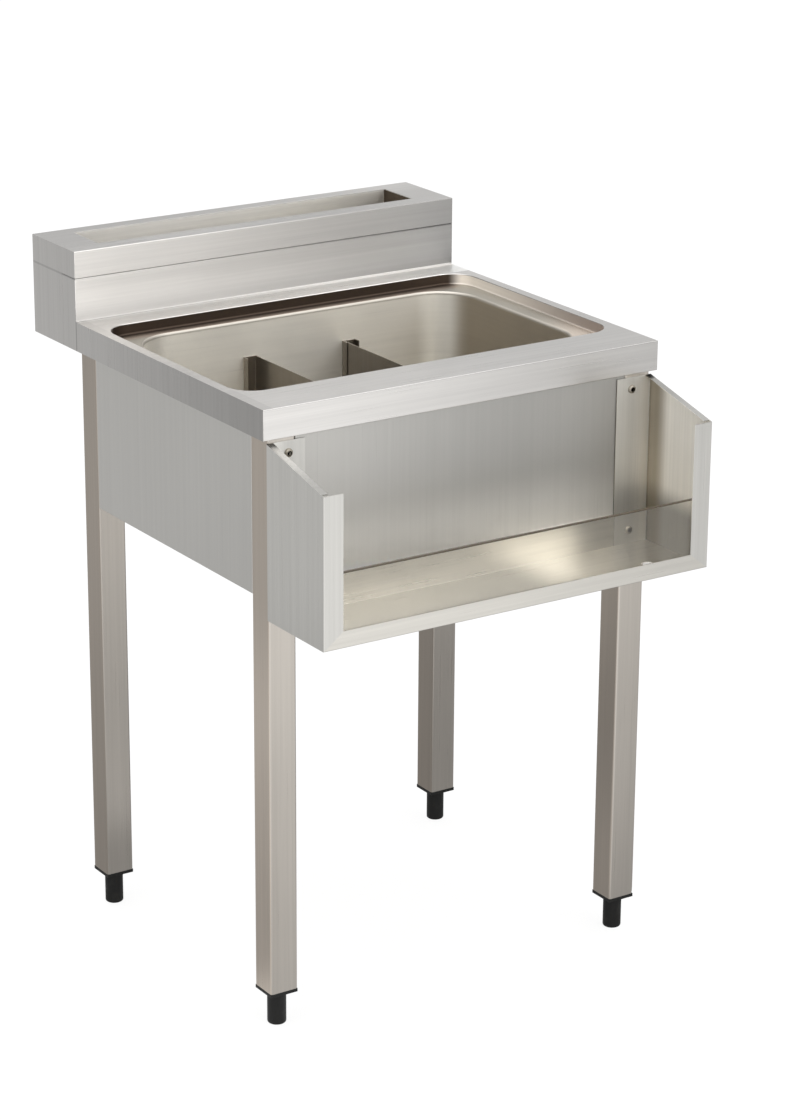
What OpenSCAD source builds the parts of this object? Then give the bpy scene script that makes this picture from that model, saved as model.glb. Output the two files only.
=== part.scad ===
// Free-standing bar sink: a folded worktop with a divided ice bowl, a rear trough box,
// skirt panels, four square legs on screw feet, and a bottle rail with a clear retainer in front.
// X runs across, Y from front to back and Z up. The origin is on the floor, in the middle of
// the footprint. The modules draw with y = 0 at the worktop's front face, and placed() moves
// them to the origin.

/* [Worktop] */
// Overall width
top_w = 600; // [560:10:800]
// Depth from the front face to the back of the rear box
top_d = 600; // [560:10:720]
// Height of the work surface above the floor
top_h = 840; // [800:5:900]
// Sheet thickness of the worktop, bowl, box and bottle rail
sheet = 1.2; // [0.8:0.1:1.6]
// Height of the down-turned apron
apron_h = 40; // [34:1:60]
// Flat in front of the recess
front_flat = 75; // [70:1:100]
// Flat between the recess and the upstand
rear_flat = 43; // [40:1:70]
// Flat at each side of the recess
side_rim = 14.5; // [13:0.5:25]
// Height of the stiffeners under the worktop
stiffener_h = 22; // [15:1:30]
// Width of the front stiffener
stiffener_w = 20; // [15:1:35]
// Distance of the front stiffener from the bowl's weld flange
stiffener_front_gap = 5; // [2:0.5:8]
// Distance of the rear stiffener from the bowl's weld flange
stiffener_rear_gap = 2; // [1:0.5:4]
// Distance of the rear stiffener from the upstand's front face
stiffener_back_gap = 3; // [2:0.5:6]
// Distance between a stiffener's end and the legs
stiffener_end_gap = 6; // [3:0.5:12]

/* [Ice bowl] */
// Depth of the recess that a lid would sit in
recess_depth = 15; // [10:1:18]
// Corner radius of the recess
recess_r = 36; // [20:1:45]
// Width of the ledge at each side of the bowl
ledge_side = 27.5; // [20:0.5:40]
// Width of the ledge in front of the bowl
ledge_front = 20; // [12:1:35]
// Width of the ledge behind the bowl
ledge_rear = 20; // [12:1:35]
// Depth of the bowl below the ledge
bowl_depth = 205; // [180:1:215]
// Vertical corner radius of the bowl
bowl_r = 60; // [40:1:65]
// Radius between the bowl's walls and its floor
bowl_fillet = 20; // [12:1:25]
// Width of the flange welded under the worktop
weld_flange = 6; // [4:0.5:6]
// Thickness of the foam jacket
foam_t = 18; // [12:1:20]

/* [Dividers and drain plates] */
// Distance from the middle between the dividers to each divider's inner face
divider_x = 70; // [60:0.5:80]
// Distance that the pair of dividers stands to the right of the bowl's middle
divider_shift = 8; // [0:0.5:16]
// Drop from the work surface to the top of the dividers
divider_drop = 65.5; // [50:0.5:80]
// Width of the flange folded along each end of a divider
divider_flange = 17.5; // [12:0.5:20]
// Sheet thickness of dividers, guides and drain plates
thin = 1; // [0.8:0.1:1.2]
// Depth of a guide, from the bowl wall
guide_d = 12; // [10:1:14]
// Height of the drain plates above the bowl floor
plate_lift = 20; // [18:1:26]
// Diameter of a drain plate's feet
plate_foot_d = 8; // [6:1:10]
// Diameter of the drain holes
drain_hole_d = 8; // [6:1:10]
// Spacing of the drain holes
drain_pitch = 26; // [22:1:34]
// Least width of the plain border along a drain plate's sides
plate_side = 12; // [10:1:20]
// Least width of the plain border along a drain plate's ends
plate_end = 20; // [15:1:30]
// Distance of a plate's feet from the bowl's bent foot
plate_foot_in = 6; // [4:0.5:10]

/* [Waste fitting] */
// Diameter of the waste flange in the bowl
waste_d = 70; // [64:1:80]
// Thickness of the waste flange
waste_t = 2; // [1.5:0.1:3]
// Outer diameter of the threaded waste body
waste_body_d = 48; // [46:1:52]
// Length of the waste body below the bowl floor
waste_body_l = 45; // [40:1:60]
// Outer diameter of the tail pipe
tail_d = 40; // [38:1:42]
// Wall of the tail pipe and the waste body
tail_wall = 2.5; // [2:0.1:3]
// Length of the tail pipe
tail_l = 65; // [50:1:90]
// Thickness of the strainer that lies in the flange
strainer_t = 1.5; // [1:0.1:1.5]
// Width of the flange outside the strainer
waste_rim = 6; // [4:0.5:8]
// Height of the lock nut
lock_nut_h = 10; // [8:1:14]
// Height of the coupling nut
tail_nut_h = 16; // [14:1:20]
// Thickness of the rubber gasket
gasket_t = 3; // [2:0.5:4]
// Thickness of the tail pipe's flange
tail_flange_t = 3; // [2:0.5:4]
// Depth of the neck that the coupling nut turns on
tail_neck = 0.5; // [0.3:0.1:1]
// Thickness of the coupling nut below the tail pipe's flange
tail_nut_lip = 3; // [2:0.5:4]
// Wall of the coupling nut
tail_nut_wall = 5; // [3:0.5:6]
// Diameter of the strainer's screw
strainer_screw_d = 4; // [3:0.5:5]
// Height of the strainer screw's head
strainer_head_h = 2; // [1:0.5:3]
// Diameter of the strainer's inner holes
strainer_hole_d = 5; // [3:0.5:6]
// Diameter of the strainer's outer holes
strainer_small_d = 4; // [3:0.5:5]
// Drop from the bowl floor to the cross bar that holds the strainer's screw
bar_drop = 3; // [2:0.5:6]
// Height of the cross bar
bar_h = 5; // [3:0.5:8]
// Width of the cross bar
bar_w = 10; // [8:1:12]

/* [Rear box] */
// Depth of the rear box
box_d = 120; // [110:1:150]
// Height of the box above the work surface
box_rise = 95; // [80:1:120]
// Height of the seam above the work surface
seam_rise = 58; // [40:1:65]
// Length of the upstand's return along the box's side
upstand_return = 36; // [30:1:45]
// Distance from each end of the box to the trough slot
slot_end = 51; // [40:1:80]
// Distance from the box's front to the trough slot
slot_front = 27; // [20:1:40]
// Distance from the box's back to the trough slot
slot_rear = 23; // [18:1:35]
// Depth of the trough
trough_depth = 94; // [60:1:110]
// Width of the trough's flange under the box top
trough_flange = 8; // [5:1:12]
// Width of the fold inside the seam
seam_fold = 12; // [8:1:20]
// Width of each bracket under the box
bracket_w = 28; // [20:1:35]
// Length of each bracket's lower leaf
bracket_l = 40; // [30:1:60]
// Thickness of the brackets
bracket_t = 3; // [2:0.5:4]

/* [Skirt] */
// Height of the skirt panels below the apron
skirt_h = 211; // [190:1:230]
// Sheet thickness of the skirt panels
skirt_t = 1; // [0.8:0.1:1.2]
// Width of the flange folded along each edge of a panel
skirt_flange = 12; // [8:1:15]

/* [Legs and feet] */
// Width of the square leg tube
leg_w = 40; // [35:1:45]
// Wall of the leg tube
leg_wall = 1.5; // [1.2:0.1:2]
// Distance from the worktop's side to the leg
leg_inset = 9; // [6:1:14]
// Distance from the worktop's front to the front legs
leg_front = 5; // [4:1:10]
// Distance the rear legs reach behind the upstand's front face
leg_rear = 5; // [3:1:8]
// Height of the leg's end above the floor
leg_end = 51; // [45:1:60]
// Thickness of the insert's flange below the leg
insert_t = 5; // [4:1:8]
// Length of the insert inside the leg
insert_l = 30; // [20:1:40]
// Diameter of the foot
foot_d = 25; // [22:1:32]
// Radius round the foot's lower edge
foot_r = 3; // [2:0.5:4]
// Chamfer round the foot's upper edge
foot_chamfer = 1; // [0.5:0.1:2]
// Gap between the foot and the insert when screwed right in
foot_gap = 0.5; // [0.3:0.1:2]
// Depth of the stud in the foot
stud_seat = 20; // [15:1:30]
// Diameter of the foot's threaded stud
stud_d = 10; // [8:1:12]
// Length of the stud above the foot
stud_l = 62; // [50:1:80]

/* [Bottle rail] */
// Distance the rail reaches in front of the worktop
rail_reach = 127; // [100:1:160]
// Distance from the worktop's side to the rail's end
rail_inset = 7; // [5:0.5:8]
// Drop from the work surface to the rail's underside
rail_drop = 274; // [240:1:300]
// Height of the end plates at the front
rail_front_h = 197; // [150:1:205]
// Height of the end plates at the legs
rail_back_h = 229; // [210:1:231]
// Width of the flange folded along an end plate's front edge
rail_side_flange = 28; // [20:1:35]
// Height of the tray's front lip
rail_lip = 22; // [18:1:40]
// Width of the flange bolted to the leg
rail_leg_flange = 55; // [45:1:60]
// Width of the lip folded along an end plate's sloping edge
rail_top_lip = 8; // [5:1:10]
// Height of the tray's rear wall
rail_rear_h = 45; // [30:1:60]
// Thickness of the clear retainer
retainer_t = 4; // [3:0.5:6]
// Height of the clear retainer above the tray
retainer_h = 96; // [70:1:120]
// Diameter of the drain hole in the tray
rail_drain_d = 18; // [12:1:24]
// Distance from the rail's right end to the drain hole
rail_drain_x = 59; // [45:1:90]
// Distance from the rail's front to the drain hole
rail_drain_y = 50; // [35:1:80]
// Diameter of the rail's fixing screws
screw_d = 6; // [5:1:8]
// Diameter of the fixing screws' heads
screw_head_d = 11.4; // [10:0.2:13]
// Height of the fixing screws' heads
screw_head_h = 3; // [2:0.5:4]
// Length of a fixing screw past its nut
screw_tip = 4; // [2:0.5:8]
// Height of the nuts behind the legs' front walls
rail_nut_h = 5; // [4:0.5:7]
// Distance of the screws inwards from the legs' middle
screw_in = 9.2; // [0:0.1:9.5]
// Distance of the upper screws below the end plates' top
screw_top = 16; // [12:1:25]
// Distance of the lower screws above the rail's underside
screw_bottom = 20; // [14:1:30]
// Width of the lugs that hold the retainer
lug_w = 10; // [6:1:15]
// Thickness of the lugs
lug_t = 2; // [1:0.5:3]
// Height of the lugs
lug_h = 18; // [12:1:24]
// Distance of the lower lugs above the tray
lug_low = 15; // [8:1:20]
// Distance of the upper lugs below the retainer's top
lug_high = 7; // [4:1:12]

/* [Fits] */
// Gap at the seam between upstand and box shell
seam_gap = 0.4; // [0.2:0.1:0.6]
// Clearance of pieces that lift out
lift_gap = 0.4; // [0.3:0.1:0.6]
// Clearance between a drain plate and what surrounds it
plate_gap = 3; // [2:0.5:4]
// Radial clearance of a screw in its hole
screw_gap = 0.3; // [0.2:0.1:0.5]
// Radial clearance of a stud in its insert
stud_gap = 0.05; // [0.02:0.01:0.1]
// Clearance of each side of an insert's plug in its leg
plug_gap = 0.2; // [0.1:0.05:0.4]
// Gap under a piece that stands on another
rest_gap = 0.3; // [0.2:0.1:0.5]
// Set-back of the skirt panels from the legs' outer faces
skirt_set = 0.5; // [0.3:0.1:2]
// Gap between the skirt's hidden top edge and the ledge or the rear apron line
skirt_gap = 0.8; // [0.5:0.1:2]
// Clearance of hidden pieces that end short of a sheet
hidden_gap = 2; // [1:0.5:4]
// Gap between the foam and the waste fitting
foam_gap = 12; // [8:1:20]

/* [Hidden] */
$fn = 64;
// Overlap of a cutting solid past the face that it cuts
cut = 1;

half_w = top_w / 2;
top_z = top_h;
apron_z = top_h - apron_h;
box_y = top_d - box_d;
box_top = top_h + box_rise;
seam_z = top_h + seam_rise;
return_y = box_y + upstand_return;

// Recess outline and bowl outline, both centred across the worktop
recess_w = top_w - 2 * side_rim;
recess_y0 = front_flat;
recess_y1 = box_y - rear_flat;
recess_d = recess_y1 - recess_y0;
recess_yc = (recess_y0 + recess_y1) / 2;
ledge_z = top_h - recess_depth;
bowl_w = recess_w - 2 * ledge_side;
bowl_y0 = recess_y0 + ledge_front;
bowl_y1 = recess_y1 - ledge_rear;
bowl_l = bowl_y1 - bowl_y0;
bowl_yc = (bowl_y0 + bowl_y1) / 2;
floor_z = ledge_z - bowl_depth;

// Dividers and their guides, measured from the middle between them
divider_top = top_h - divider_drop;
guide_in = divider_x - lift_gap;
guide_out = divider_x + divider_flange + lift_gap;
guide_z0 = floor_z + bowl_fillet + rest_gap;
stop_z = guide_z0 + thin;
divider_z0 = stop_z + rest_gap;
plate_top = floor_z + plate_lift;

// Legs
leg_x = half_w - leg_inset - leg_w / 2;
leg_y0 = leg_front + leg_w / 2;
leg_y1 = box_y + leg_rear - leg_w / 2;
leg_back = box_y + leg_rear;
leg_len = top_h - sheet - leg_end;
insert_z = leg_end - insert_t;
foot_h = insert_z - foot_gap;
stiffener_y = recess_y0 - weld_flange - stiffener_front_gap;
stiffener_half = leg_x - leg_w / 2 - stiffener_end_gap;

// Waste fitting, with heights below the bowl floor
waste_bore_d = waste_body_d - 2 * tail_wall;
strainer_d = waste_d - 2 * waste_rim;
bar_z = -bar_drop - bar_h;
nut_z = -sheet - gasket_t - lock_nut_h;
tail_free = tail_flange_t + tail_nut_lip + tail_neck;

// Skirt
skirt_z = apron_z - skirt_h;
skirt_top = ledge_z - sheet - skirt_gap;
skirt_x = half_w - leg_inset - skirt_set;

// Bottle rail
rail_z = top_h - rail_drop;
rail_half = half_w - rail_inset;
rail_front_y = -rail_reach;
rail_floor = rail_z + sheet;
retainer_y = rail_front_y + sheet + lift_gap;
leg_face_y = leg_front;
screw_x = leg_x - screw_in;
screw_z = [rail_z + rail_back_h - screw_top, rail_z + screw_bottom];

steel = [0.74, 0.73, 0.70];
steel_dark = [0.60, 0.58, 0.54];
black = [0.08, 0.08, 0.08];

// Moves a drawing with y = 0 at the worktop's front face to the row's frame
module placed() {
    translate([0, (rail_reach - top_d) / 2, 0]) children();
}

// A box between two corners
module block(low, high) {
    translate(low) cube(high - low);
}

// The same solid on both sides of the middle plane
module both_sides() {
    children();
    mirror([1, 0, 0]) children();
}

// Rectangle with rounded corners, centred on the origin
module round_rect(w, d, r) {
    square([w - 2 * r, d], center = true);
    square([w, d - 2 * r], center = true);
    for (sx = [-1, 1], sy = [-1, 1])
        translate([sx * (w / 2 - r), sy * (d / 2 - r)]) circle(r);
}

// Band of width t outside a rounded rectangle
module round_band(w, d, r, t) {
    difference() {
        round_rect(w + 2 * t, d + 2 * t, r + t);
        round_rect(w, d, r);
    }
}

// Section of a sheet bent through a right angle, with inner radius f and thickness t
module bend_section(f, t) {
    intersection() {
        difference() {
            circle(f + t);
            circle(f);
        }
        translate([0, -f - t]) square(f + t);
    }
}

// Bent sheet all round the bottom of a pan: straight along its sides, turned at its corners
module bend_ring(w, d, r, f, t) {
    for (side = [0, 1]) mirror([side, 0, 0])
        translate([w / 2 - f, d / 2 - r, 0])
            rotate([90, 0, 0]) linear_extrude(d - 2 * r) bend_section(f, t);
    for (side = [0, 1]) mirror([0, side, 0])
        translate([-w / 2 + r, d / 2 - f, 0])
            rotate([90, 0, 90]) linear_extrude(w - 2 * r) bend_section(f, t);
    for (sx = [0, 1], sy = [0, 1]) mirror([sx, 0, 0]) mirror([0, sy, 0])
        translate([w / 2 - r, d / 2 - r, 0])
            rotate_extrude(angle = 90) translate([r - f, 0]) bend_section(f, t);
}

// Worktop: top sheet, aprons, and the upstand with its side returns
module worktop() color(steel) placed() {
    difference() {
        block([-half_w, 0, top_z - sheet], [half_w, box_y + sheet, top_z]);
        translate([0, recess_yc, top_z - sheet - cut])
            linear_extrude(sheet + 2 * cut) round_rect(recess_w, recess_d, recess_r);
    }
    block([-half_w, 0, apron_z], [half_w, sheet, top_z - sheet]);
    both_sides() {
        block([half_w - sheet, sheet, apron_z], [half_w, return_y, top_z - sheet]);
        block([half_w - sheet, box_y + sheet, top_z - sheet], [half_w, return_y, seam_z]);
    }
    block([-half_w, box_y, top_z], [half_w, box_y + sheet, seam_z]);
    block([-half_w + sheet, box_y + sheet, seam_z - sheet], [half_w - sheet, box_y + seam_fold, seam_z]);
}

// Hat-shaped stiffener between y0 and y1 under the worktop, up to half-length a
module stiffener(y0, y1, a) {
    z0 = top_z - sheet - stiffener_h;
    difference() {
        block([-a, y0, z0], [a, y1, top_z - sheet]);
        block([-a - cut, y0 + sheet, z0 + sheet], [a + cut, y1 - sheet, top_z]);
    }
}

module front_stiffener() color(steel_dark) placed()
    stiffener(stiffener_y - stiffener_w, stiffener_y, stiffener_half);

module rear_stiffener() color(steel_dark) placed()
    stiffener(recess_y1 + weld_flange + stiffener_rear_gap, box_y - stiffener_back_gap, stiffener_half);

// Pressed ice bowl: weld flange, recess wall, ledge, walls, bent foot of the walls, and floor
module ice_bowl() color(steel) placed() {
    translate([0, recess_yc, top_z - 2 * sheet]) linear_extrude(sheet)
        round_band(recess_w, recess_d, recess_r, weld_flange);
    translate([0, recess_yc, ledge_z]) linear_extrude(recess_depth - 2 * sheet)
        round_band(recess_w, recess_d, recess_r, sheet);
    translate([0, 0, ledge_z - sheet]) linear_extrude(sheet) difference() {
        translate([0, recess_yc]) round_rect(recess_w + 2 * sheet, recess_d + 2 * sheet, recess_r + sheet);
        translate([0, bowl_yc]) round_rect(bowl_w, bowl_l, bowl_r);
    }
    translate([0, bowl_yc, floor_z + bowl_fillet]) {
        linear_extrude(bowl_depth - bowl_fillet - sheet) round_band(bowl_w, bowl_l, bowl_r, sheet);
        bend_ring(bowl_w, bowl_l, bowl_r, bowl_fillet, sheet);
    }
    translate([0, bowl_yc, floor_z - sheet]) linear_extrude(sheet) difference() {
        round_rect(bowl_w - 2 * bowl_fillet, bowl_l - 2 * bowl_fillet, bowl_r - bowl_fillet);
        circle(d = waste_body_d + 2 * screw_gap);
    }
}

// Foam jacket glued round the bowl, open under the waste
module foam_jacket() color([0.85, 0.80, 0.62]) placed() {
    foam_top = ledge_z - sheet - hidden_gap;
    bowl_under = floor_z - sheet;
    difference() {
        translate([0, bowl_yc, bowl_under - foam_t]) linear_extrude(foam_top - bowl_under + foam_t)
            round_rect(bowl_w + 2 * (sheet + foam_t), bowl_l + 2 * (sheet + foam_t), bowl_r + foam_t);
        translate([0, bowl_yc, bowl_under]) linear_extrude(foam_top - bowl_under + cut)
            round_rect(bowl_w + 2 * (sheet + lift_gap), bowl_l + 2 * (sheet + lift_gap),
                       bowl_r + sheet + lift_gap);
        translate([0, bowl_yc, bowl_under - foam_t - cut])
            cylinder(h = foam_t + 2 * cut, d = waste_d + 2 * foam_gap);
    }
}

// One guide: a channel on the bowl wall that is open towards the middle of the bowl, with a stop
module guide() {
    block([guide_in - thin, 0, guide_z0], [guide_in, guide_d, divider_top]);
    block([guide_out, 0, guide_z0], [guide_out + thin, guide_d, divider_top]);
    block([guide_in, 0, guide_z0], [guide_out, thin, divider_top]);
    block([guide_in, thin, guide_z0], [guide_out, guide_d, stop_z]);
}

// Moves dividers and guides from the middle to their place in the bowl
module shifted() translate([divider_shift, 0, 0]) children();

module divider_guides() color(steel_dark) placed() shifted() both_sides() {
    translate([0, bowl_y0, 0]) guide();
    translate([0, bowl_y1, 0]) mirror([0, 1, 0]) guide();
}

// Right divider: a plate with a flange folded outwards along its front and rear edges
module divider() {
    y0 = bowl_y0 + thin + lift_gap;
    y1 = bowl_y1 - thin - lift_gap;
    block([divider_x, y0, divider_z0], [divider_x + thin, y1, divider_top]);
    block([divider_x + thin, y0, divider_z0], [divider_x + divider_flange, y0 + thin, divider_top]);
    block([divider_x + thin, y1 - thin, divider_z0], [divider_x + divider_flange, y1, divider_top]);
}

module divider_left() color(steel_dark) placed() shifted() mirror([1, 0, 0]) divider();

module divider_right() color(steel_dark) placed() shifted() divider();

// Perforated drain plate between x0 and x1, cut round the bowl's corners and the guides
module drain_plate(x0, x1) {
    inner_w = bowl_w - 2 * plate_gap;
    inner_l = bowl_l - 2 * plate_gap;
    notch_x = guide_in - thin - plate_gap;
    notch_w = guide_out - guide_in + 2 * thin + 2 * plate_gap;
    columns = floor((x1 - x0 - 2 * plate_side) / drain_pitch);
    rows = floor((inner_l - 2 * plate_end) / drain_pitch);
    foot_in = bowl_fillet + plate_foot_d / 2 + plate_foot_in;
    translate([0, 0, plate_top - thin]) linear_extrude(thin) difference() {
        intersection() {
            round_rect(inner_w, inner_l, bowl_r - plate_gap);
            translate([x0, -inner_l]) square([x1 - x0, 2 * inner_l]);
        }
        shifted() for (sx = [0, 1], sy = [-1, 1])
            mirror([sx, 0]) translate([notch_x, sy * (bowl_l / 2) - guide_d - plate_gap])
                square([notch_w, 2 * (guide_d + plate_gap)]);
        for (i = [0 : columns], j = [0 : rows])
            translate([(x0 + x1) / 2 + (i - columns / 2) * drain_pitch, (j - rows / 2) * drain_pitch])
                circle(d = drain_hole_d);
    }
    for (fx = [x0 + foot_in, x1 - foot_in], sy = [-1, 1])
        translate([fx, sy * (bowl_l / 2 - bowl_r), floor_z])
            cylinder(h = plate_lift - thin, d = plate_foot_d);
}

module drain_plate_middle() color(steel_dark) placed() translate([0, bowl_yc, 0])
    drain_plate(divider_shift - divider_x + plate_gap, divider_shift + divider_x - plate_gap);

module drain_plate_right() color(steel_dark) placed() translate([0, bowl_yc, 0])
    drain_plate(divider_shift + divider_x + thin + plate_gap, bowl_w / 2 - plate_gap);

module drain_plate_left() color(steel_dark) placed() translate([0, bowl_yc, 0])
    drain_plate(-bowl_w / 2 + plate_gap, divider_shift - divider_x - thin - plate_gap);

// Waste fitting, drawn from the bowl floor down on its own axis
module on_waste_axis() placed() translate([0, bowl_yc, floor_z]) children();

// Flange and threaded body in one, with a cross bar that holds the strainer's screw
module waste_body() color(steel) on_waste_axis() {
    difference() {
        union() {
            cylinder(h = waste_t, d = waste_d);
            translate([0, 0, -waste_body_l]) cylinder(h = waste_body_l, d = waste_body_d);
        }
        translate([0, 0, -waste_body_l - cut])
            cylinder(h = waste_body_l + waste_t + 2 * cut, d = waste_bore_d);
        translate([0, 0, waste_t - strainer_t]) cylinder(h = strainer_t + cut, d = strainer_d);
    }
    difference() {
        block([-waste_bore_d / 2 - tail_wall / 2, -bar_w / 2, bar_z],
              [waste_bore_d / 2 + tail_wall / 2, bar_w / 2, -bar_drop]);
        translate([0, 0, bar_z - cut])
            cylinder(h = bar_h + 2 * cut, r = strainer_screw_d / 2 + stud_gap);
    }
}

module waste_strainer() color(steel) on_waste_axis()
    translate([0, 0, waste_t - strainer_t]) difference() {
        cylinder(h = strainer_t, d = strainer_d - 2 * screw_gap);
        translate([0, 0, -cut]) cylinder(h = strainer_t + 2 * cut, r = strainer_screw_d / 2 + screw_gap);
        for (a = [0 : 45 : 315]) rotate(a) translate([waste_bore_d / 4, 0, -cut])
            cylinder(h = strainer_t + 2 * cut, d = strainer_hole_d);
        for (a = [15 : 30 : 345]) rotate(a)
            translate([(waste_bore_d - strainer_small_d - tail_wall) / 2, 0, -cut])
                cylinder(h = strainer_t + 2 * cut, d = strainer_small_d);
    }

module strainer_screw() color(steel) on_waste_axis() {
    translate([0, 0, waste_t]) cylinder(h = strainer_head_h, d = 2 * strainer_screw_d);
    translate([0, 0, bar_z - strainer_screw_d / 2])
        cylinder(h = waste_t - bar_z + strainer_screw_d / 2, d = strainer_screw_d);
}

module waste_gasket() color(black) on_waste_axis()
    translate([0, 0, -sheet - gasket_t]) difference() {
        cylinder(h = gasket_t, d = waste_d);
        translate([0, 0, -cut]) cylinder(h = gasket_t + 2 * cut, r = waste_body_d / 2 + stud_gap);
    }

module waste_lock_nut() color([0.82, 0.82, 0.80]) on_waste_axis()
    translate([0, 0, nut_z]) difference() {
        cylinder(h = lock_nut_h, d = waste_d, $fn = 8);
        translate([0, 0, -cut]) cylinder(h = lock_nut_h + 2 * cut, r = waste_body_d / 2 + stud_gap);
    }

// Tail pipe with the flange that the coupling nut pulls up against the body
module tail_pipe() color([0.82, 0.82, 0.80]) on_waste_axis()
    translate([0, 0, -waste_body_l]) difference() {
        union() {
            translate([0, 0, -tail_flange_t]) cylinder(h = tail_flange_t, d = waste_body_d);
            translate([0, 0, -tail_free]) cylinder(h = tail_free, d = tail_d - 2 * tail_neck);
            translate([0, 0, -tail_l]) cylinder(h = tail_l - tail_free, d = tail_d);
        }
        translate([0, 0, -tail_l - cut]) cylinder(h = tail_l + 2 * cut, d = tail_d - 2 * tail_wall);
    }

module tail_nut() color([0.82, 0.82, 0.80]) on_waste_axis()
    translate([0, 0, -waste_body_l - tail_flange_t - tail_nut_lip]) difference() {
        cylinder(h = tail_nut_h, d = waste_body_d + 2 * tail_nut_wall);
        translate([0, 0, tail_nut_lip]) cylinder(h = tail_nut_h, r = waste_body_d / 2 + stud_gap);
        translate([0, 0, -cut]) cylinder(h = tail_nut_h, r = tail_d / 2 + stud_gap);
    }

// Rear box: shell with the slotted top, folded over the upstand
module box_shell() color(steel) placed() {
    inner_y = top_d - sheet;
    difference() {
        block([-half_w, box_y, box_top - sheet], [half_w, top_d, box_top]);
        block([-half_w + slot_end, box_y + slot_front, box_top - sheet - cut],
              [half_w - slot_end, top_d - slot_rear, box_top + cut]);
    }
    block([-half_w, box_y, seam_z + seam_gap], [half_w, box_y + sheet, box_top - sheet]);
    block([-half_w + sheet, box_y + sheet, seam_z + seam_gap],
          [half_w - sheet, box_y + seam_fold, seam_z + seam_gap + sheet]);
    both_sides() {
        block([half_w - sheet, box_y + sheet, seam_z + seam_gap], [half_w, top_d, box_top - sheet]);
        block([half_w - sheet, return_y + seam_gap, apron_z], [half_w, top_d, seam_z + seam_gap]);
    }
    block([-half_w + sheet, inner_y, apron_z], [half_w - sheet, top_d, box_top - sheet]);
}

module rear_trough() color(steel) placed() {
    x1 = half_w - slot_end;
    y0 = box_y + slot_front;
    y1 = top_d - slot_rear;
    z1 = box_top - sheet;
    z0 = z1 - trough_depth;
    difference() {
        union() {
            block([-x1 - sheet, y0 - sheet, z0], [x1 + sheet, y1 + sheet, z1]);
            block([-x1 - trough_flange, y0 - trough_flange, z1 - sheet],
                  [x1 + trough_flange, y1 + trough_flange, z1]);
        }
        block([-x1, y0, z0 + sheet], [x1, y1, z1 + cut]);
    }
}

module box_base() color(steel_dark) placed()
    block([-half_w + sheet, leg_back + sheet, apron_z], [half_w - sheet, top_d - sheet, apron_z + sheet]);

// Angle brackets that carry the box on the rear legs
module box_brackets() color(steel_dark) placed() both_sides() {
    x0 = leg_x - bracket_w / 2;
    z0 = apron_z + sheet;
    block([x0, leg_back, z0], [x0 + bracket_w, leg_back + bracket_t, top_z - sheet - hidden_gap]);
    block([x0, leg_back + bracket_t, z0], [x0 + bracket_w, leg_back + bracket_l, z0 + bracket_t]);
}

// Skirt panel of width w: flat sheet in the XZ plane with a flange on all four edges behind it
module skirt_panel(w) {
    difference() {
        block([-w / 2, 0, skirt_z], [w / 2, skirt_flange, skirt_top]);
        block([-w / 2 + skirt_t, skirt_t, skirt_z + skirt_t],
              [w / 2 - skirt_t, skirt_flange + cut, skirt_top - skirt_t]);
    }
}

module skirt_side() translate([skirt_x, (leg_y0 + leg_y1) / 2, 0]) rotate([0, 0, 90])
    skirt_panel(leg_y1 - leg_y0 - leg_w);

module skirt_left() color(steel) placed() mirror([1, 0, 0]) skirt_side();

module skirt_right() color(steel) placed() skirt_side();

module skirt_front() color(steel) placed() translate([0, leg_front + skirt_set, 0])
    skirt_panel(2 * leg_x - leg_w);

module skirt_rear() color(steel) placed() translate([0, leg_back - skirt_set, 0]) mirror([0, 1, 0])
    difference() {
        skirt_panel(2 * leg_x - leg_w);
        block([-half_w, -cut, apron_z - skirt_gap], [half_w, skirt_flange + cut, top_h]);
    }

// Rail screw holes through a leg's front wall or a rail flange
module screw_holes(y, h) {
    for (z = screw_z)
        translate([screw_x, y, z]) rotate([-90, 0, 0]) cylinder(h = h, r = screw_d / 2 + screw_gap);
}

// Square leg tube on its own axis
module leg_tube() translate([-leg_w / 2, -leg_w / 2, leg_end]) difference() {
    cube([leg_w, leg_w, leg_len]);
    translate([leg_wall, leg_wall, -cut])
        cube([leg_w - 2 * leg_wall, leg_w - 2 * leg_wall, leg_len + 2 * cut]);
}

module front_leg() difference() {
    translate([leg_x, leg_y0, 0]) leg_tube();
    screw_holes(leg_front - cut, leg_wall + 2 * cut);
}

module leg_front_right() color(steel) placed() front_leg();

module leg_front_left() color(steel) placed() mirror([1, 0, 0]) front_leg();

module leg_rear_right() color(steel) placed() translate([leg_x, leg_y1, 0]) leg_tube();

module leg_rear_left() color(steel) placed() translate([-leg_x, leg_y1, 0]) leg_tube();

// Plastic insert: a flange under the tube, a plug inside it, and a threaded bore
module leg_insert() {
    plug_w = leg_w - 2 * leg_wall - 2 * plug_gap;
    difference() {
        union() {
            translate([-leg_w / 2, -leg_w / 2, insert_z]) cube([leg_w, leg_w, insert_t]);
            translate([-plug_w / 2, -plug_w / 2, leg_end]) cube([plug_w, plug_w, insert_l]);
        }
        translate([0, 0, insert_z - cut])
            cylinder(h = insert_t + insert_l + 2 * cut, r = stud_d / 2 + stud_gap);
    }
}

module leg_inserts() color(black) placed()
    for (sx = [-1, 1], y = [leg_y0, leg_y1]) translate([sx * leg_x, y, 0]) leg_insert();

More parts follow.
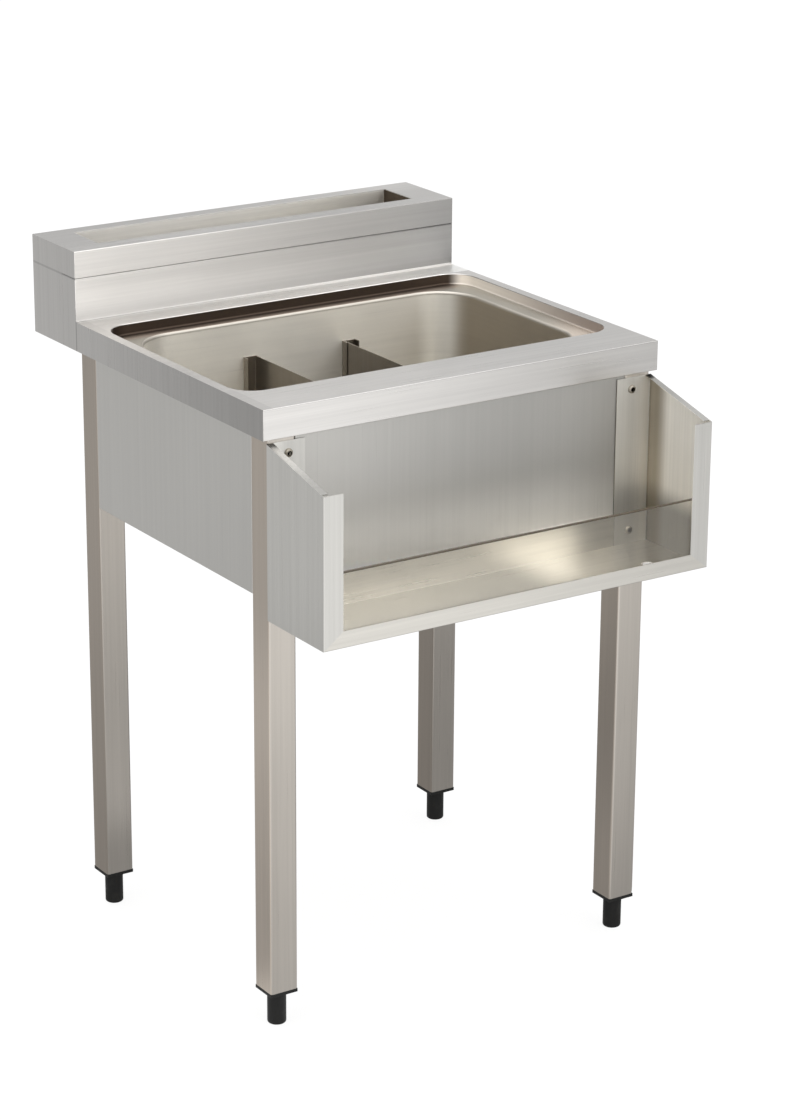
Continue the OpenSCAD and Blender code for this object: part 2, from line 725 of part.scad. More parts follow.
// Plastic foot: a plain cylinder with a rounded lower edge and a chamfered top, bored for the stud
module foot() difference() {
    rotate_extrude() {
        square([foot_d / 2 - foot_r, foot_h]);
        translate([0, foot_r]) square([foot_d / 2, foot_h - foot_r - foot_chamfer]);
        translate([foot_d / 2 - foot_r, foot_r]) circle(foot_r);
        polygon([[0, foot_h - foot_chamfer], [foot_d / 2, foot_h - foot_chamfer],
                 [foot_d / 2 - foot_chamfer, foot_h], [0, foot_h]]);
    }
    translate([0, 0, foot_h - stud_seat]) cylinder(h = stud_seat + cut, r = stud_d / 2 + stud_gap);
}

// Threaded stud moulded into the foot
module stud() translate([0, 0, foot_h - stud_seat]) cylinder(h = stud_l + stud_seat, d = stud_d);

module foot_front_left() color(black) placed() translate([-leg_x, leg_y0, 0]) foot();
module foot_front_right() color(black) placed() translate([leg_x, leg_y0, 0]) foot();
module foot_rear_left() color(black) placed() translate([-leg_x, leg_y1, 0]) foot();
module foot_rear_right() color(black) placed() translate([leg_x, leg_y1, 0]) foot();
module stud_front_left() color(steel_dark) placed() translate([-leg_x, leg_y0, 0]) stud();
module stud_front_right() color(steel_dark) placed() translate([leg_x, leg_y0, 0]) stud();
module stud_rear_left() color(steel_dark) placed() translate([-leg_x, leg_y1, 0]) stud();
module stud_rear_right() color(steel_dark) placed() translate([leg_x, leg_y1, 0]) stud();

// Bottle rail tray: floor, front lip with mitred ends, and rear wall between the leg flanges
module rail_tray() color(steel) placed() {
    end = rail_half - sheet;
    rear_end = rail_half - rail_leg_flange - rest_gap;
    difference() {
        block([-end, rail_front_y + sheet, rail_z], [end, leg_face_y - sheet, rail_floor]);
        translate([rail_half - rail_drain_x, rail_front_y + rail_drain_y, rail_z - cut])
            cylinder(h = sheet + 2 * cut, d = rail_drain_d);
    }
    translate([0, rail_front_y + sheet, 0]) rotate([90, 0, 0]) linear_extrude(sheet)
        polygon([[-rail_half, rail_z], [rail_half, rail_z],
                 [rail_half - rail_side_flange, rail_z + rail_lip],
                 [-rail_half + rail_side_flange, rail_z + rail_lip]]);
    block([-rear_end, leg_face_y - sheet, rail_z], [rear_end, leg_face_y, rail_z + rail_rear_h]);
}

// Right end plate: sloping top with a lip that starts behind the retainer, a front flange mitred
// to the tray's lip, and a leg flange
module rail_end() {
    front_top = rail_z + rail_front_h;
    back_top = rail_z + rail_back_h;
    back_y = leg_face_y;
    translate([rail_half - sheet, 0, 0]) rotate([90, 0, 90]) linear_extrude(sheet)
        polygon([[rail_front_y + sheet, rail_z], [back_y, rail_z], [back_y, back_top],
                 [rail_front_y + sheet, front_top]]);
    intersection() {
        translate([rail_half - sheet - rail_top_lip, 0, 0]) rotate([90, 0, 90]) linear_extrude(rail_top_lip)
            polygon([[rail_front_y + sheet, front_top - sheet], [back_y - sheet, back_top - sheet],
                     [back_y - sheet, back_top], [rail_front_y + sheet, front_top]]);
        block([0, retainer_y + retainer_t + lift_gap, front_top - cut - sheet],
              [rail_half, back_y, back_top + cut]);
    }
    translate([0, rail_front_y + sheet, 0]) rotate([90, 0, 0]) linear_extrude(sheet)
        polygon([[rail_half, rail_z], [rail_half, front_top], [rail_half - rail_side_flange, front_top],
                 [rail_half - rail_side_flange, rail_z + rail_lip]]);
    difference() {
        block([rail_half - rail_leg_flange, back_y - sheet, rail_floor + rest_gap],
              [rail_half - sheet, back_y, back_top]);
        screw_holes(back_y - sheet - cut, sheet + 2 * cut);
    }
}

module rail_end_right() color(steel) placed() rail_end();

module rail_end_left() color(steel) placed() mirror([1, 0, 0]) rail_end();

// Clear retainer plate, standing on the tray behind the front flanges
module rail_retainer() color([0.75, 0.68, 0.55, 0.4]) placed()
    block([-rail_half + sheet + lift_gap, retainer_y, rail_floor + rest_gap],
          [rail_half - sheet - lift_gap, retainer_y + retainer_t, rail_floor + retainer_h]);

// Tabs welded inside the end plates, which hold the retainer against the flanges
module retainer_lugs() color(steel) placed() both_sides() {
    lug_y = retainer_y + retainer_t + lift_gap;
    for (z = [rail_floor + lug_low, rail_floor + retainer_h - lug_high - lug_h])
        block([rail_half - sheet - lug_w, lug_y, z], [rail_half - sheet, lug_y + lug_t, z + lug_h]);
}

// Button-head screws through the leg flanges, and the nuts behind the legs' front walls
module rail_screws() color(steel) placed() both_sides() for (z = screw_z)
    translate([screw_x, leg_face_y - sheet, z]) rotate([-90, 0, 0]) {
        translate([0, 0, -screw_head_h]) cylinder(h = screw_head_h, d = screw_head_d);
        cylinder(h = sheet + leg_wall + rail_nut_h + screw_tip, d = screw_d);
    }

module rail_nuts() color(steel_dark) placed() both_sides() for (z = screw_z)
    translate([screw_x, leg_face_y + leg_wall, z]) rotate([-90, 0, 0]) difference() {
        cylinder(h = rail_nut_h, d = screw_head_d, $fn = 6);
        translate([0, 0, -cut]) cylinder(h = rail_nut_h + 2 * cut, r = screw_d / 2 + stud_gap);
    }

worktop();
front_stiffener();
rear_stiffener();
ice_bowl();
foam_jacket();
divider_guides();
divider_left();
divider_right();
drain_plate_left();
drain_plate_middle();
drain_plate_right();
waste_body();
waste_strainer();
strainer_screw();
waste_gasket();
waste_lock_nut();
tail_pipe();
tail_nut();
box_shell();
rear_trough();
box_base();
box_brackets();
skirt_left();
skirt_right();
skirt_front();
skirt_rear();
leg_front_left();
leg_front_right();
leg_rear_left();
leg_rear_right();
leg_inserts();
foot_front_left();
foot_front_right();
foot_rear_left();
foot_rear_right();
stud_front_left();
stud_front_right();
stud_rear_left();
stud_rear_right();
rail_tray();
rail_end_left();
rail_end_right();
rail_retainer();
retainer_lugs();
rail_screws();
rail_nuts();
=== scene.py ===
import math

import bmesh
import bpy
from mathutils import Matrix, Vector


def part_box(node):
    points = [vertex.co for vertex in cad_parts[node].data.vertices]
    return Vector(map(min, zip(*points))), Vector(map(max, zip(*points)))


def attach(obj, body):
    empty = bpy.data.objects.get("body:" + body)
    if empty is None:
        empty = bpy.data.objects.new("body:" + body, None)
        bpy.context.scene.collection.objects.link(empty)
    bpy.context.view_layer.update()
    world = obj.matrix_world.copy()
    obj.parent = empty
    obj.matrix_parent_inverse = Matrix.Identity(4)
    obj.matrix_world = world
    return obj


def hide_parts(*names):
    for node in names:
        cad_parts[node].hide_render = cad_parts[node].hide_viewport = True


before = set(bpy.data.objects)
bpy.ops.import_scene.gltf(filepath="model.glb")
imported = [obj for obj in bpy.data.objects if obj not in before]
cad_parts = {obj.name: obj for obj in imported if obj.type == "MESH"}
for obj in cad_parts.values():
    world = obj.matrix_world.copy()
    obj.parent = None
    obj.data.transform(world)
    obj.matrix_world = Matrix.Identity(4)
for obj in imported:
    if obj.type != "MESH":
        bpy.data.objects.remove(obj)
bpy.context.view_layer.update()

# ---------------------------------------------------------------------------------- Legs
# Four square tubes of brushed stainless steel with rounded corners and a vertical grain. They
# are welded up under the worktop, and the front two are bored for the rail's screws.
CORNERS = ("front_left", "front_right", "rear_left", "rear_right")
TUBE_CORNER, TUBE_INNER_CORNER = 0.0030, 0.0015
TUBE_WALL = 0.0015
TUBE_STEEL = (0.585, 0.545, 0.495, 1.0)
# TUBE_SHADED is the tubes' colour with shade painted in, for their left faces. The bands and amounts below
# it paint more light and shade on the tubes.
TUBE_SHADED = (0.560, 0.497, 0.432, 1.0)
TUBE_ROUGHNESS = 0.33
TUBE_LOW, TUBE_HIGH = (0.02, 0.40), (0.38, 0.62)
LOW_GLEAM, FRONT_LEFT_DIM = 0.24, 0.14
LEFT_FACE_DIM, LEFT_FACE_GLEAM, HIGH_DIM = 0.12, 0.50, 0.46
REAR_DIM, REAR_RIGHT_DIM = 0.12, 0.07
FINE_ACROSS, FINE_ALONG = 1500.0, 14.0
BROAD_ACROSS, BROAD_ALONG, BROAD_SEED = 210.0, 2.2, 31.0
SCRATCH_ACROSS, SCRATCH_ALONG, SCRATCH_SEED = 525.0, 7.0, 77.0
SCRATCH_EDGE = (0.70, 0.76)
CLOUD_SCALE = 7.0
CLOUD_TINT, SCRATCH_TINT = 0.06, 0.06
FINE_ROUGH, CLOUD_ROUGH, SCRATCH_ROUGH = 0.10, 0.08, 0.05
BRUSH_SPREAD, QUARTER_TURN = 0.50, 0.25
BRUSH_RELIEF, BRUSH_STRENGTH, BROAD_RELIEF = 0.00004, 0.30, 0.6
SQUARE_ON = 0.7
SAME_PLACE, WELD_DISTANCE = 2e-5, 2e-6
FLAT_TURN, FOLD_TURN, SHARP_TURN = math.radians(0.3), 0.4, 0.7
FOLD_STEPS, EASE_STEPS = 5, 2
CUT_EASE = 0.0002


class Wire:
    """A socket in a material's node tree. Sums on it add Math nodes, and node() adds any other node."""

    def __init__(self, tree, socket=None):
        self.tree, self.socket = tree, socket

    def node(self, kind, settings=None, sockets=None, output=0):
        made = self.tree.nodes.new("ShaderNode" + kind)
        for name, value in (settings or {}).items():
            setattr(made, name, value)
        for name, value in (sockets or {}).items():
            if isinstance(value, Wire):
                self.tree.links.new(value.socket, made.inputs[name])
            else:
                made.inputs[name].default_value = value
        return Wire(self.tree, made.outputs[output])

    def math(self, operation, first, second=0.0):
        return self.node("Math", {"operation": operation}, {0: first, 1: second})

    def parts(self):
        """The x, y and z of these coordinates."""
        return [self.node("SeparateXYZ", sockets={"Vector": self}, output=axis) for axis in "XYZ"]

    def noise(self, scale, detail):
        """Noise from 0 to 1 at these coordinates."""
        return self.node("TexNoise", sockets={"Vector": self, "Scale": scale, "Detail": detail})

    def tint(self, colour):
        """A colour times this value. A plain colour has three numbers here, and four in blend()."""
        return self.node("VectorMath", {"operation": "SCALE"}, {0: colour, "Scale": self})

    def blend(self, first, second):
        """The first colour where this value is 0, and the second where it is 1."""
        return self.node("Mix", {"data_type": "RGBA"}, {0: self, 6: first, 7: second}, 2)

    def ramp(self, low, high, start=0.0):
        """Runs smoothly from 0 to 1 between low and high, both measured from start."""
        return self.node("MapRange", {"interpolation_type": "SMOOTHSTEP"},
                         {"Value": self, "From Min": start + low, "From Max": start + high})

    def __add__(self, other):
        return self.math("ADD", self, other)

    def __sub__(self, other):
        return self.math("SUBTRACT", self, other)

    def __rsub__(self, other):
        return self.math("SUBTRACT", other, self)

    def __mul__(self, other):
        return self.math("MULTIPLY", self, other)

    def __gt__(self, other):
        return self.math("GREATER_THAN", self, other)

    def __lt__(self, other):
        return self.math("LESS_THAN", self, other)

    def __abs__(self):
        return self.math("ABSOLUTE", self)

    __radd__ = __add__
    __rmul__ = __mul__


def new_finish(name):
    """A new material, a first wire in its node tree, and its Principled shader."""
    material = bpy.data.materials.new(name)
    material.use_nodes = True
    shader = material.node_tree.nodes["Principled BSDF"]
    return material, Wire(material.node_tree), shader


def feed(shader, **inputs):
    """Links wires to the shader's sockets, and sets the rest. An underscore stands for a space."""
    for name, value in inputs.items():
        socket = shader.inputs[name.replace("_", " ")]
        if isinstance(value, Wire):
            value.tree.links.new(value.socket, socket)
        else:
            socket.default_value = value


def brushed_steel(name, colour, grain, roughness, streak=0.10, painted_light=None):
    """Brushed stainless steel. grain is the axis that the brush ran along: "x", "z", or "xy" for satin.

    The brush marks spread a reflection across the grain. The last argument takes the object's
    coordinates, the way that the surface faces, the colour and the roughness, and returns the colour
    with light and shade painted into it, and the roughness as it changes over the surface.
    """
    material, wire, shader = new_finish(name)
    feed(shader, Anisotropic=0.0 if grain == "xy" else BRUSH_SPREAD,
         Anisotropic_Rotation=QUARTER_TURN if grain == "x" else 0.0)
    place = wire.node("TexCoord", output="Object")
    x, y, z = place.parts()
    facing = wire.node("TexCoord", output="Normal").parts()
    sideways = abs(facing[0]) > SQUARE_ON

    def grain_noise(across, along, seed, detail):
        pace = [along if axis in grain else across for axis in "xyz"]
        z_pace = pace[2] if grain != "x" else across + sideways * (along - across)
        spot = wire.node("CombineXYZ", sockets={0: x * pace[0], 1: y * pace[1] + seed, 2: z * z_pace})
        return spot.noise(scale=1.0, detail=detail)

    fine = grain_noise(FINE_ACROSS, FINE_ALONG, seed=0.0, detail=2.0) - 0.5
    broad = grain_noise(BROAD_ACROSS, BROAD_ALONG, BROAD_SEED, detail=3.0) - 0.5
    cloud = place.noise(CLOUD_SCALE, detail=3.0) - 0.5
    scratch = grain_noise(SCRATCH_ACROSS, SCRATCH_ALONG, SCRATCH_SEED, detail=1.0).ramp(*SCRATCH_EDGE)
    # The colour takes its painted light and shade here.
    if painted_light:
        colour, roughness = painted_light(place, facing, colour, roughness)
    tone = 1.0 + broad * (2 * streak) + fine * streak + cloud * CLOUD_TINT - scratch * SCRATCH_TINT
    bump = wire.node("Bump", sockets={"Strength": BRUSH_STRENGTH, "Distance": BRUSH_RELIEF,
                                      "Height": fine + broad * BROAD_RELIEF - scratch})
    feed(shader, Base_Color=tone.tint(colour), Metallic=1.0, Normal=bump,
         Roughness=roughness + fine * FINE_ROUGH + cloud * CLOUD_ROUGH - scratch * SCRATCH_ROUGH)
    return material


def lies_at(point, x, y, z):
    """True if a point has those coordinates. x counts on both sides, and None matches any value."""
    return all(want is None or abs(have - want) < SAME_PLACE
               for have, want in ((abs(point.x), x), (point.y, y), (point.z, z)))


def made_from(node, folds=(), ease=CUT_EASE, body="frame"):
    """A piece that takes a CAD node's place: its mesh with the folds rounded and the cut edges eased.

    Each fold is (x, y, z, radius), for the edges at those coordinates, or (test, radius), for the
    edges whose two ends pass the test. The widest folds are rounded first.
    """
    bm = bmesh.new()
    bm.from_mesh(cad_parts[node].data)
    bmesh.ops.remove_doubles(bm, verts=bm.verts, dist=WELD_DISTANCE)
    bmesh.ops.dissolve_limit(bm, angle_limit=FLAT_TURN, verts=bm.verts, edges=bm.edges)
    for radius in sorted({fold[-1] for fold in folds}, reverse=True):
        lines = set()
        for fold in folds:
            if fold[-1] != radius:
                continue
            test = fold[0] if len(fold) == 2 else lambda p, f=fold: lies_at(p, *f[:3])
            lines |= {e for e in bm.edges
                      if all(test(v.co) for v in e.verts) and e.calc_face_angle(0) > FOLD_TURN}
        bmesh.ops.bevel(bm, geom=list(lines), offset=radius, offset_type="OFFSET", segments=FOLD_STEPS,
                        profile=0.5, affect="EDGES", material=-1, clamp_overlap=True)
    bmesh.ops.triangulate(bm, faces=[f for f in bm.faces if len(f.verts) > 4])
    cut_edges = [e for e in bm.edges if e.calc_face_angle(0) > SHARP_TURN]
    bmesh.ops.bevel(bm, geom=cut_edges, offset=ease, offset_type="OFFSET", segments=EASE_STEPS,
                    profile=0.5, affect="EDGES", material=-1, clamp_overlap=True)
    return piece_of(bm, node + "_sheet", body, node)


def piece_of(bm, name, body, node):
    """Makes a bmesh a smooth-shaded piece that rides on a body and takes a CAD node's place."""
    mesh = bpy.data.meshes.new(name)
    for edge in bm.edges:
        edge.smooth = edge.calc_face_angle(0) < SHARP_TURN
    for face in bm.faces:
        face.smooth = True
    bm.to_mesh(mesh)
    bm.free()
    # Normals that came with the CAD mesh don't fit the rounded one.
    if "custom_normal" in mesh.attributes:
        mesh.attributes.remove(mesh.attributes["custom_normal"])
    piece = bpy.data.objects.new(name, mesh)
    bpy.context.scene.collection.objects.link(piece)
    flat = piece.modifiers.new("flat faces stay flat", "WEIGHTED_NORMAL")
    flat.keep_sharp = True
    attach(piece, body)
    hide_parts(node)
    return piece


def dress(material, *pieces):
    """Gives pieces, or CAD nodes by name, one material."""
    for piece in pieces:
        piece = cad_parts[piece] if isinstance(piece, str) else piece
        if piece.data.materials:
            piece.material_slots[0].material = material
        else:
            piece.data.materials.append(material)


def leg_painted_light(place, facing, colour, roughness):
    """Painted light and shade: the tubes take a browner, shaded colour on their left faces, are
    brighter low down, and are duller at the rear.

    The left face of the front left tube is the brightest, but duller high up.
    """
    x, y, z = place.parts()
    left_face = facing[0] < -SQUARE_ON
    front_left = (x < 0.0) * (y < 0.0)
    low_down = 1.0 - z.ramp(*TUBE_LOW)
    high_up = z.ramp(*TUBE_HIGH)
    shade = 1.0 + low_down * (LOW_GLEAM - front_left * FRONT_LEFT_DIM)
    shade = shade + left_face * (front_left * (LEFT_FACE_GLEAM - high_up * HIGH_DIM) - LEFT_FACE_DIM)
    shade = shade - (y > 0.0) * (REAR_DIM + (x > 0.0) * REAR_RIGHT_DIM)
    return shade.tint(left_face.blend(colour, TUBE_SHADED)), roughness


leg_steel = brushed_steel("leg_steel", TUBE_STEEL, "z", TUBE_ROUGHNESS, painted_light=leg_painted_light)
for corner in CORNERS:
    low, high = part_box("leg_" + corner)
    near_x, far_x = sorted((abs(low.x), abs(high.x)))
    folds = [(x, y, None, TUBE_CORNER) for x in (near_x, far_x) for y in (low.y, high.y)]
    folds += [(x, y, None, TUBE_INNER_CORNER) for x in (near_x + TUBE_WALL, far_x - TUBE_WALL)
              for y in (low.y + TUBE_WALL, high.y - TUBE_WALL)]
    dress(leg_steel, made_from("leg_" + corner, folds))

# --------------------------------------------------------------------- Inserts and feet
# A black moulded insert closes each tube. A black foot with a steel stud screws up into it, so
# that each corner's height can be set.
PLASTIC_BLACK, PLASTIC_ROUGHNESS, PLASTIC_GRAIN = (0.006, 0.006, 0.0055), 0.42, 2600.0
PLASTIC_SHINE = 0.35
TEXTURE_TINT, TEXTURE_ROUGH = 0.3, 0.2
PLASTIC_RELIEF, PLASTIC_STRENGTH = 0.00008, 0.35
RUB_SCALE, RUB_EDGE, RUB_TINT, RUB_ROUGH = 90.0, (0.5, 0.75), 0.8, 0.1
INSERT_EDGE = 0.0006
STUD_STEEL, STUD_ROUGHNESS = (0.55, 0.54, 0.52), 0.30
STUD_SIDES = 24
THREAD_PITCH, THREAD_DEPTH = 0.0015, 0.0008


def moulded_plastic(name, colour, roughness, grain, rub=RUB_TINT):
    """Moulded plastic with a fine spark-eroded texture, and rubbed spots that are paler by rub."""
    material, wire, shader = new_finish(name)
    place = wire.node("TexCoord", output="Object")
    texture = place.noise(grain, detail=3.0) - 0.5
    rubbed = place.noise(RUB_SCALE, detail=4.0).ramp(*RUB_EDGE)
    tone = 1.0 + rubbed * rub + texture * TEXTURE_TINT
    bump = wire.node("Bump", sockets={"Strength": PLASTIC_STRENGTH, "Distance": PLASTIC_RELIEF,
                                      "Height": texture})
    feed(shader, Base_Color=tone.tint(colour), Normal=bump, Specular_IOR_Level=PLASTIC_SHINE,
         Roughness=roughness + texture * TEXTURE_ROUGH - rubbed * RUB_ROUGH)
    return material


black_plastic = moulded_plastic("black_plastic", PLASTIC_BLACK, PLASTIC_ROUGHNESS, PLASTIC_GRAIN)
dress(black_plastic, made_from("leg_inserts", ease=INSERT_EDGE))
stud_steel = brushed_steel("stud_steel", STUD_STEEL, "z", STUD_ROUGHNESS)
for corner in CORNERS:
    dress(black_plastic, "foot_" + corner)
    low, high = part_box("stud_" + corner)
    axis = (low + high) / 2
    crest_r = (high.x - low.x) / 2
    bm = bmesh.new()
    bmesh.ops.create_circle(bm, cap_ends=True, radius=crest_r - THREAD_DEPTH, segments=STUD_SIDES,
                            matrix=Matrix.Translation((axis.x, axis.y, low.z)))
    rim = list(bm.edges)
    crest = True
    level = low.z
    while level < high.z - THREAD_PITCH:
        grown = bmesh.ops.extrude_edge_only(bm, edges=rim)["geom"]
        rim = [g for g in grown if isinstance(g, bmesh.types.BMEdge)]
        radius = crest_r - (0 if crest else THREAD_DEPTH)
        for v in (g for g in grown if isinstance(g, bmesh.types.BMVert)):
            out = Vector((v.co.x - axis.x, v.co.y - axis.y, 0)).normalized() * radius
            v.co = Vector((axis.x + out.x, axis.y + out.y, v.co.z + THREAD_PITCH / 2))
        crest, level = not crest, level + THREAD_PITCH / 2
    bmesh.ops.contextual_create(bm, geom=rim)
    bmesh.ops.recalc_face_normals(bm, faces=bm.faces)
    stud = "stud_" + corner
    dress(stud_steel, piece_of(bm, stud + "_thread", corner + "_foot", stud))

# ------------------------------------------------------------------------------ Worktop
# One sheet of brushed stainless steel, cut out for the bowl and folded down all round as an
# apron and up at the rear as a splash back. Two hat-shaped stiffeners are welded under it.
SHEET = 0.0012
WORK_SURFACE = 0.840
FOLD_RADIUS, RIM_RADIUS, SEAM_RADIUS = 0.0010, 0.0008, 0.0004
OPENING_HALF, OPENING_FRONT, OPENING_REAR, OPENING_RADIUS = 0.2855, 0.075, 0.437, 0.036
OPENING_EDGE = 0.0002
TOP_STEEL, TOP_ROUGHNESS = (0.665, 0.650, 0.630), 0.30
HIDDEN_STEEL, HIDDEN_ROUGHNESS = (0.50, 0.49, 0.47), 0.42
# These set the light and shade painted on the worktop and the box, and the upstand's roughness.
UPSTAND_LEFT, UPSTAND_RIGHT, UPSTAND_RUN = 1.28, 0.50, (-0.42, 0.42)
UPSTAND_EDGE, UPSTAND_SKIN, UPSTAND_ROUGH = 0.0020, 0.0008, 0.27
FOOT_BAND, FOOT_DIM = 0.030, 0.28
SIDE_DULL, FRONT_DULL, SIDE_RUN = 0.14, 0.30, (-0.30, 0.45)
FRONT_FOLD_BAND, FRONT_FOLD_DIM = 0.0014, 0.28
REAR_FOLD_BAND, REAR_FOLD_DIM = 0.0016, 0.30
SEAM_BAND, SEAM_DIM = (0.0008, 0.0020), 0.18
TABLE_SKIN = 0.0015
REAR_FLAT_DIM, REAR_FLAT_GLEAM, REAR_FLAT_RUN = 0.12, 0.58, (-0.28, 0.28)
REAR_FLAT_NEAR, REAR_FLAT_BEND, REAR_FLAT_EDGE = 0.10, 0.224, 0.0005
LEFT_FLAT_DIM = 0.10
BOX_TOP_RISE, BOX_TOP_DIM, BOX_TOP_GLEAM, BOX_TOP_RUN = 0.020, 0.17, 0.12, (0.10, 0.28)
APRON_GLEAM, APRON_FADE, APRON_RUN, APRON_SKIN = 0.09, 0.18, (-0.30, 0.30), 0.0010
low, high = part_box("worktop")
table_front, seam_z = low.y, high.z
upstand_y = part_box("box_shell")[0].y
opening_front, opening_rear = table_front + OPENING_FRONT, table_front + OPENING_REAR


def top_painted_light(place, facing, colour, roughness):
    """Painted light and shade: the upstand is duller to the right and at its foot, and the sides are
    duller in front. The upstand is also rougher.

    The folds and the seam are painted as darker lines. The rear flat is brighter to the right and the
    front apron to the left. The left flat is duller, and so is the box's top, least at its right end.
    """
    x, y, z = place.parts()
    level = facing[2] > SQUARE_ON
    on_table = level * (z < WORK_SURFACE + TABLE_SKIN)
    behind_skin = y < upstand_y + UPSTAND_SKIN
    upstand = (z > WORK_SURFACE + UPSTAND_EDGE) * (y > upstand_y - UPSTAND_EDGE) * behind_skin
    along = UPSTAND_LEFT - (UPSTAND_LEFT - UPSTAND_RIGHT) * x.ramp(*UPSTAND_RUN)
    off_foot = z.ramp(0.0, FOOT_BAND, WORK_SURFACE)
    shade = 1.0 + upstand * (along * (1.0 - FOOT_DIM + off_foot * FOOT_DIM) - 1.0)
    shade = shade - (abs(facing[0]) > SQUARE_ON) * (SIDE_DULL + FRONT_DULL * (1.0 - y.ramp(*SIDE_RUN)))
    front_fold = (y < table_front + FRONT_FOLD_BAND) * (z > WORK_SURFACE - FRONT_FOLD_BAND)
    rear_fold = (y > upstand_y - REAR_FOLD_BAND) * behind_skin * (z < WORK_SURFACE + REAR_FOLD_BAND)
    shade = shade - front_fold * FRONT_FOLD_DIM - rear_fold * REAR_FOLD_DIM
    rear_gleam = x.ramp(*REAR_FLAT_RUN) * REAR_FLAT_GLEAM - REAR_FLAT_DIM
    rear_gleam = rear_gleam + (1.0 - y.ramp(REAR_FLAT_BEND, upstand_y)) * REAR_FLAT_NEAR
    shade = shade + on_table * (y > opening_rear - REAR_FLAT_EDGE) * rear_gleam
    shade = shade - on_table * (x < -OPENING_HALF) * LEFT_FLAT_DIM
    shade = shade - (1.0 - abs(z - seam_z).ramp(*SEAM_BAND)) * SEAM_DIM
    box_top = level * (z > seam_z + BOX_TOP_RISE)
    shade = shade - box_top * (BOX_TOP_DIM - x.ramp(*BOX_TOP_RUN) * BOX_TOP_GLEAM)
    apron = (facing[1] < -SQUARE_ON) * (y < table_front + APRON_SKIN)
    shade = shade + apron * (APRON_GLEAM - x.ramp(*APRON_RUN) * APRON_FADE)
    return shade.tint(colour), roughness + upstand * UPSTAND_ROUGH


def round_opening(p):
    """On the edge of the cut-out for the bowl."""
    return (abs(p.z - WORK_SURFACE) < SAME_PLACE and abs(p.x) < OPENING_HALF + OPENING_EDGE
            and opening_front - OPENING_EDGE < p.y < opening_rear + OPENING_EDGE)


top_steel = brushed_steel("top_steel", TOP_STEEL, "x", TOP_ROUGHNESS, painted_light=top_painted_light)
dress(top_steel, made_from("worktop", [
    (None, table_front, WORK_SURFACE, FOLD_RADIUS),
    (high.x, None, WORK_SURFACE, FOLD_RADIUS),
    (high.x, table_front, None, FOLD_RADIUS),
    (None, upstand_y, WORK_SURFACE, FOLD_RADIUS),
    (high.x, upstand_y, None, FOLD_RADIUS),
    (None, upstand_y, seam_z, SEAM_RADIUS),
    (round_opening, RIM_RADIUS),
]))
hidden_steel = brushed_steel("hidden_steel", HIDDEN_STEEL, "x", HIDDEN_ROUGHNESS)
dress(hidden_steel, "front_stiffener", "rear_stiffener")

# ---------------------------------------------------------------------------- Ice bowl
# The bowl is pressed from one sheet with a sunken ledge for a lid, satin finished inside, and
# welded up under the worktop's cut-out. A foam jacket is glued round it.
BOWL_HALF, BOWL_FRONT, BOWL_REAR, BOWL_RADIUS = 0.258, 0.095, 0.417, 0.060
BOWL_DEPTH, LEDGE_Z, WELD_FLANGE, HOLE_R = 0.205, 0.825, 0.006, 0.0243
FOOT_FOLD, MOUTH_FOLD, FLOOR_FOLD = 0.0025, 0.0035, 0.0200
CORNER_STEPS = 12
BOWL_STEEL, BOWL_ROUGHNESS = (0.930, 0.905, 0.840, 1.0), 0.50
# The ledge, fold and wall colours below are painted shade, the brown and near-black ones, and painted
# reflections, the light ones. SIDE_WALL_ROUGH is roughness.
LEDGE_LEFT, LEDGE_RIGHT = (0.34, 0.32, 0.28, 1.0), (0.37, 0.35, 0.31, 1.0)
LEDGE_NEAR = (0.62, 0.55, 0.48, 1.0)
REAR_LEDGE, REAR_BROWN = (0.36, 0.30, 0.25, 1.0), (0.070, 0.052, 0.040, 1.0)
SIDE_BROWN, SIDE_LIGHT = (0.38, 0.325, 0.29, 1.0), (0.95, 0.90, 0.83, 1.0)
FOLD_LIGHT = (0.52, 0.49, 0.44, 1.0)
RIGHT_BROWN = (0.42, 0.37, 0.30, 1.0)
LEDGE_BAND, MOUTH_BAND, WALL_BAND = (-0.0008, -0.0002), (-0.0060, -0.0030), (0.0003, 0.0015)
LEDGE_RUN, NEAR_RUN, SIDE_WALL_RUN = (-0.20, 0.20), (-0.13, 0.0), (-0.16, 0.20)
REAR_LEDGE_BAND, REAR_TINT_BAND, REAR_WALL_BAND = (-0.010, 0.004), (0.0, 0.018), (-0.004, 0.014)
RIGHT_CORNER_BAND, RIGHT_WALL_BAND = (0.004, 0.022), (-0.018, -0.001)
SIDE_WALL_ROUGH = 0.25
FOAM, FOAM_ROUGHNESS = (0.62, 0.50, 0.27), 0.85
PORE_SCALE, PORE_TINT, PORE_RELIEF, PORE_STRENGTH = 420.0, 0.25, 0.0005, 0.6
SKIN_SCALE, SKIN_TINT, SKIN_ROUGH, SKIN_HEIGHT = 14.0, 0.3, 0.1, 4.0
bowl_front, bowl_rear = table_front + BOWL_FRONT, table_front + BOWL_REAR


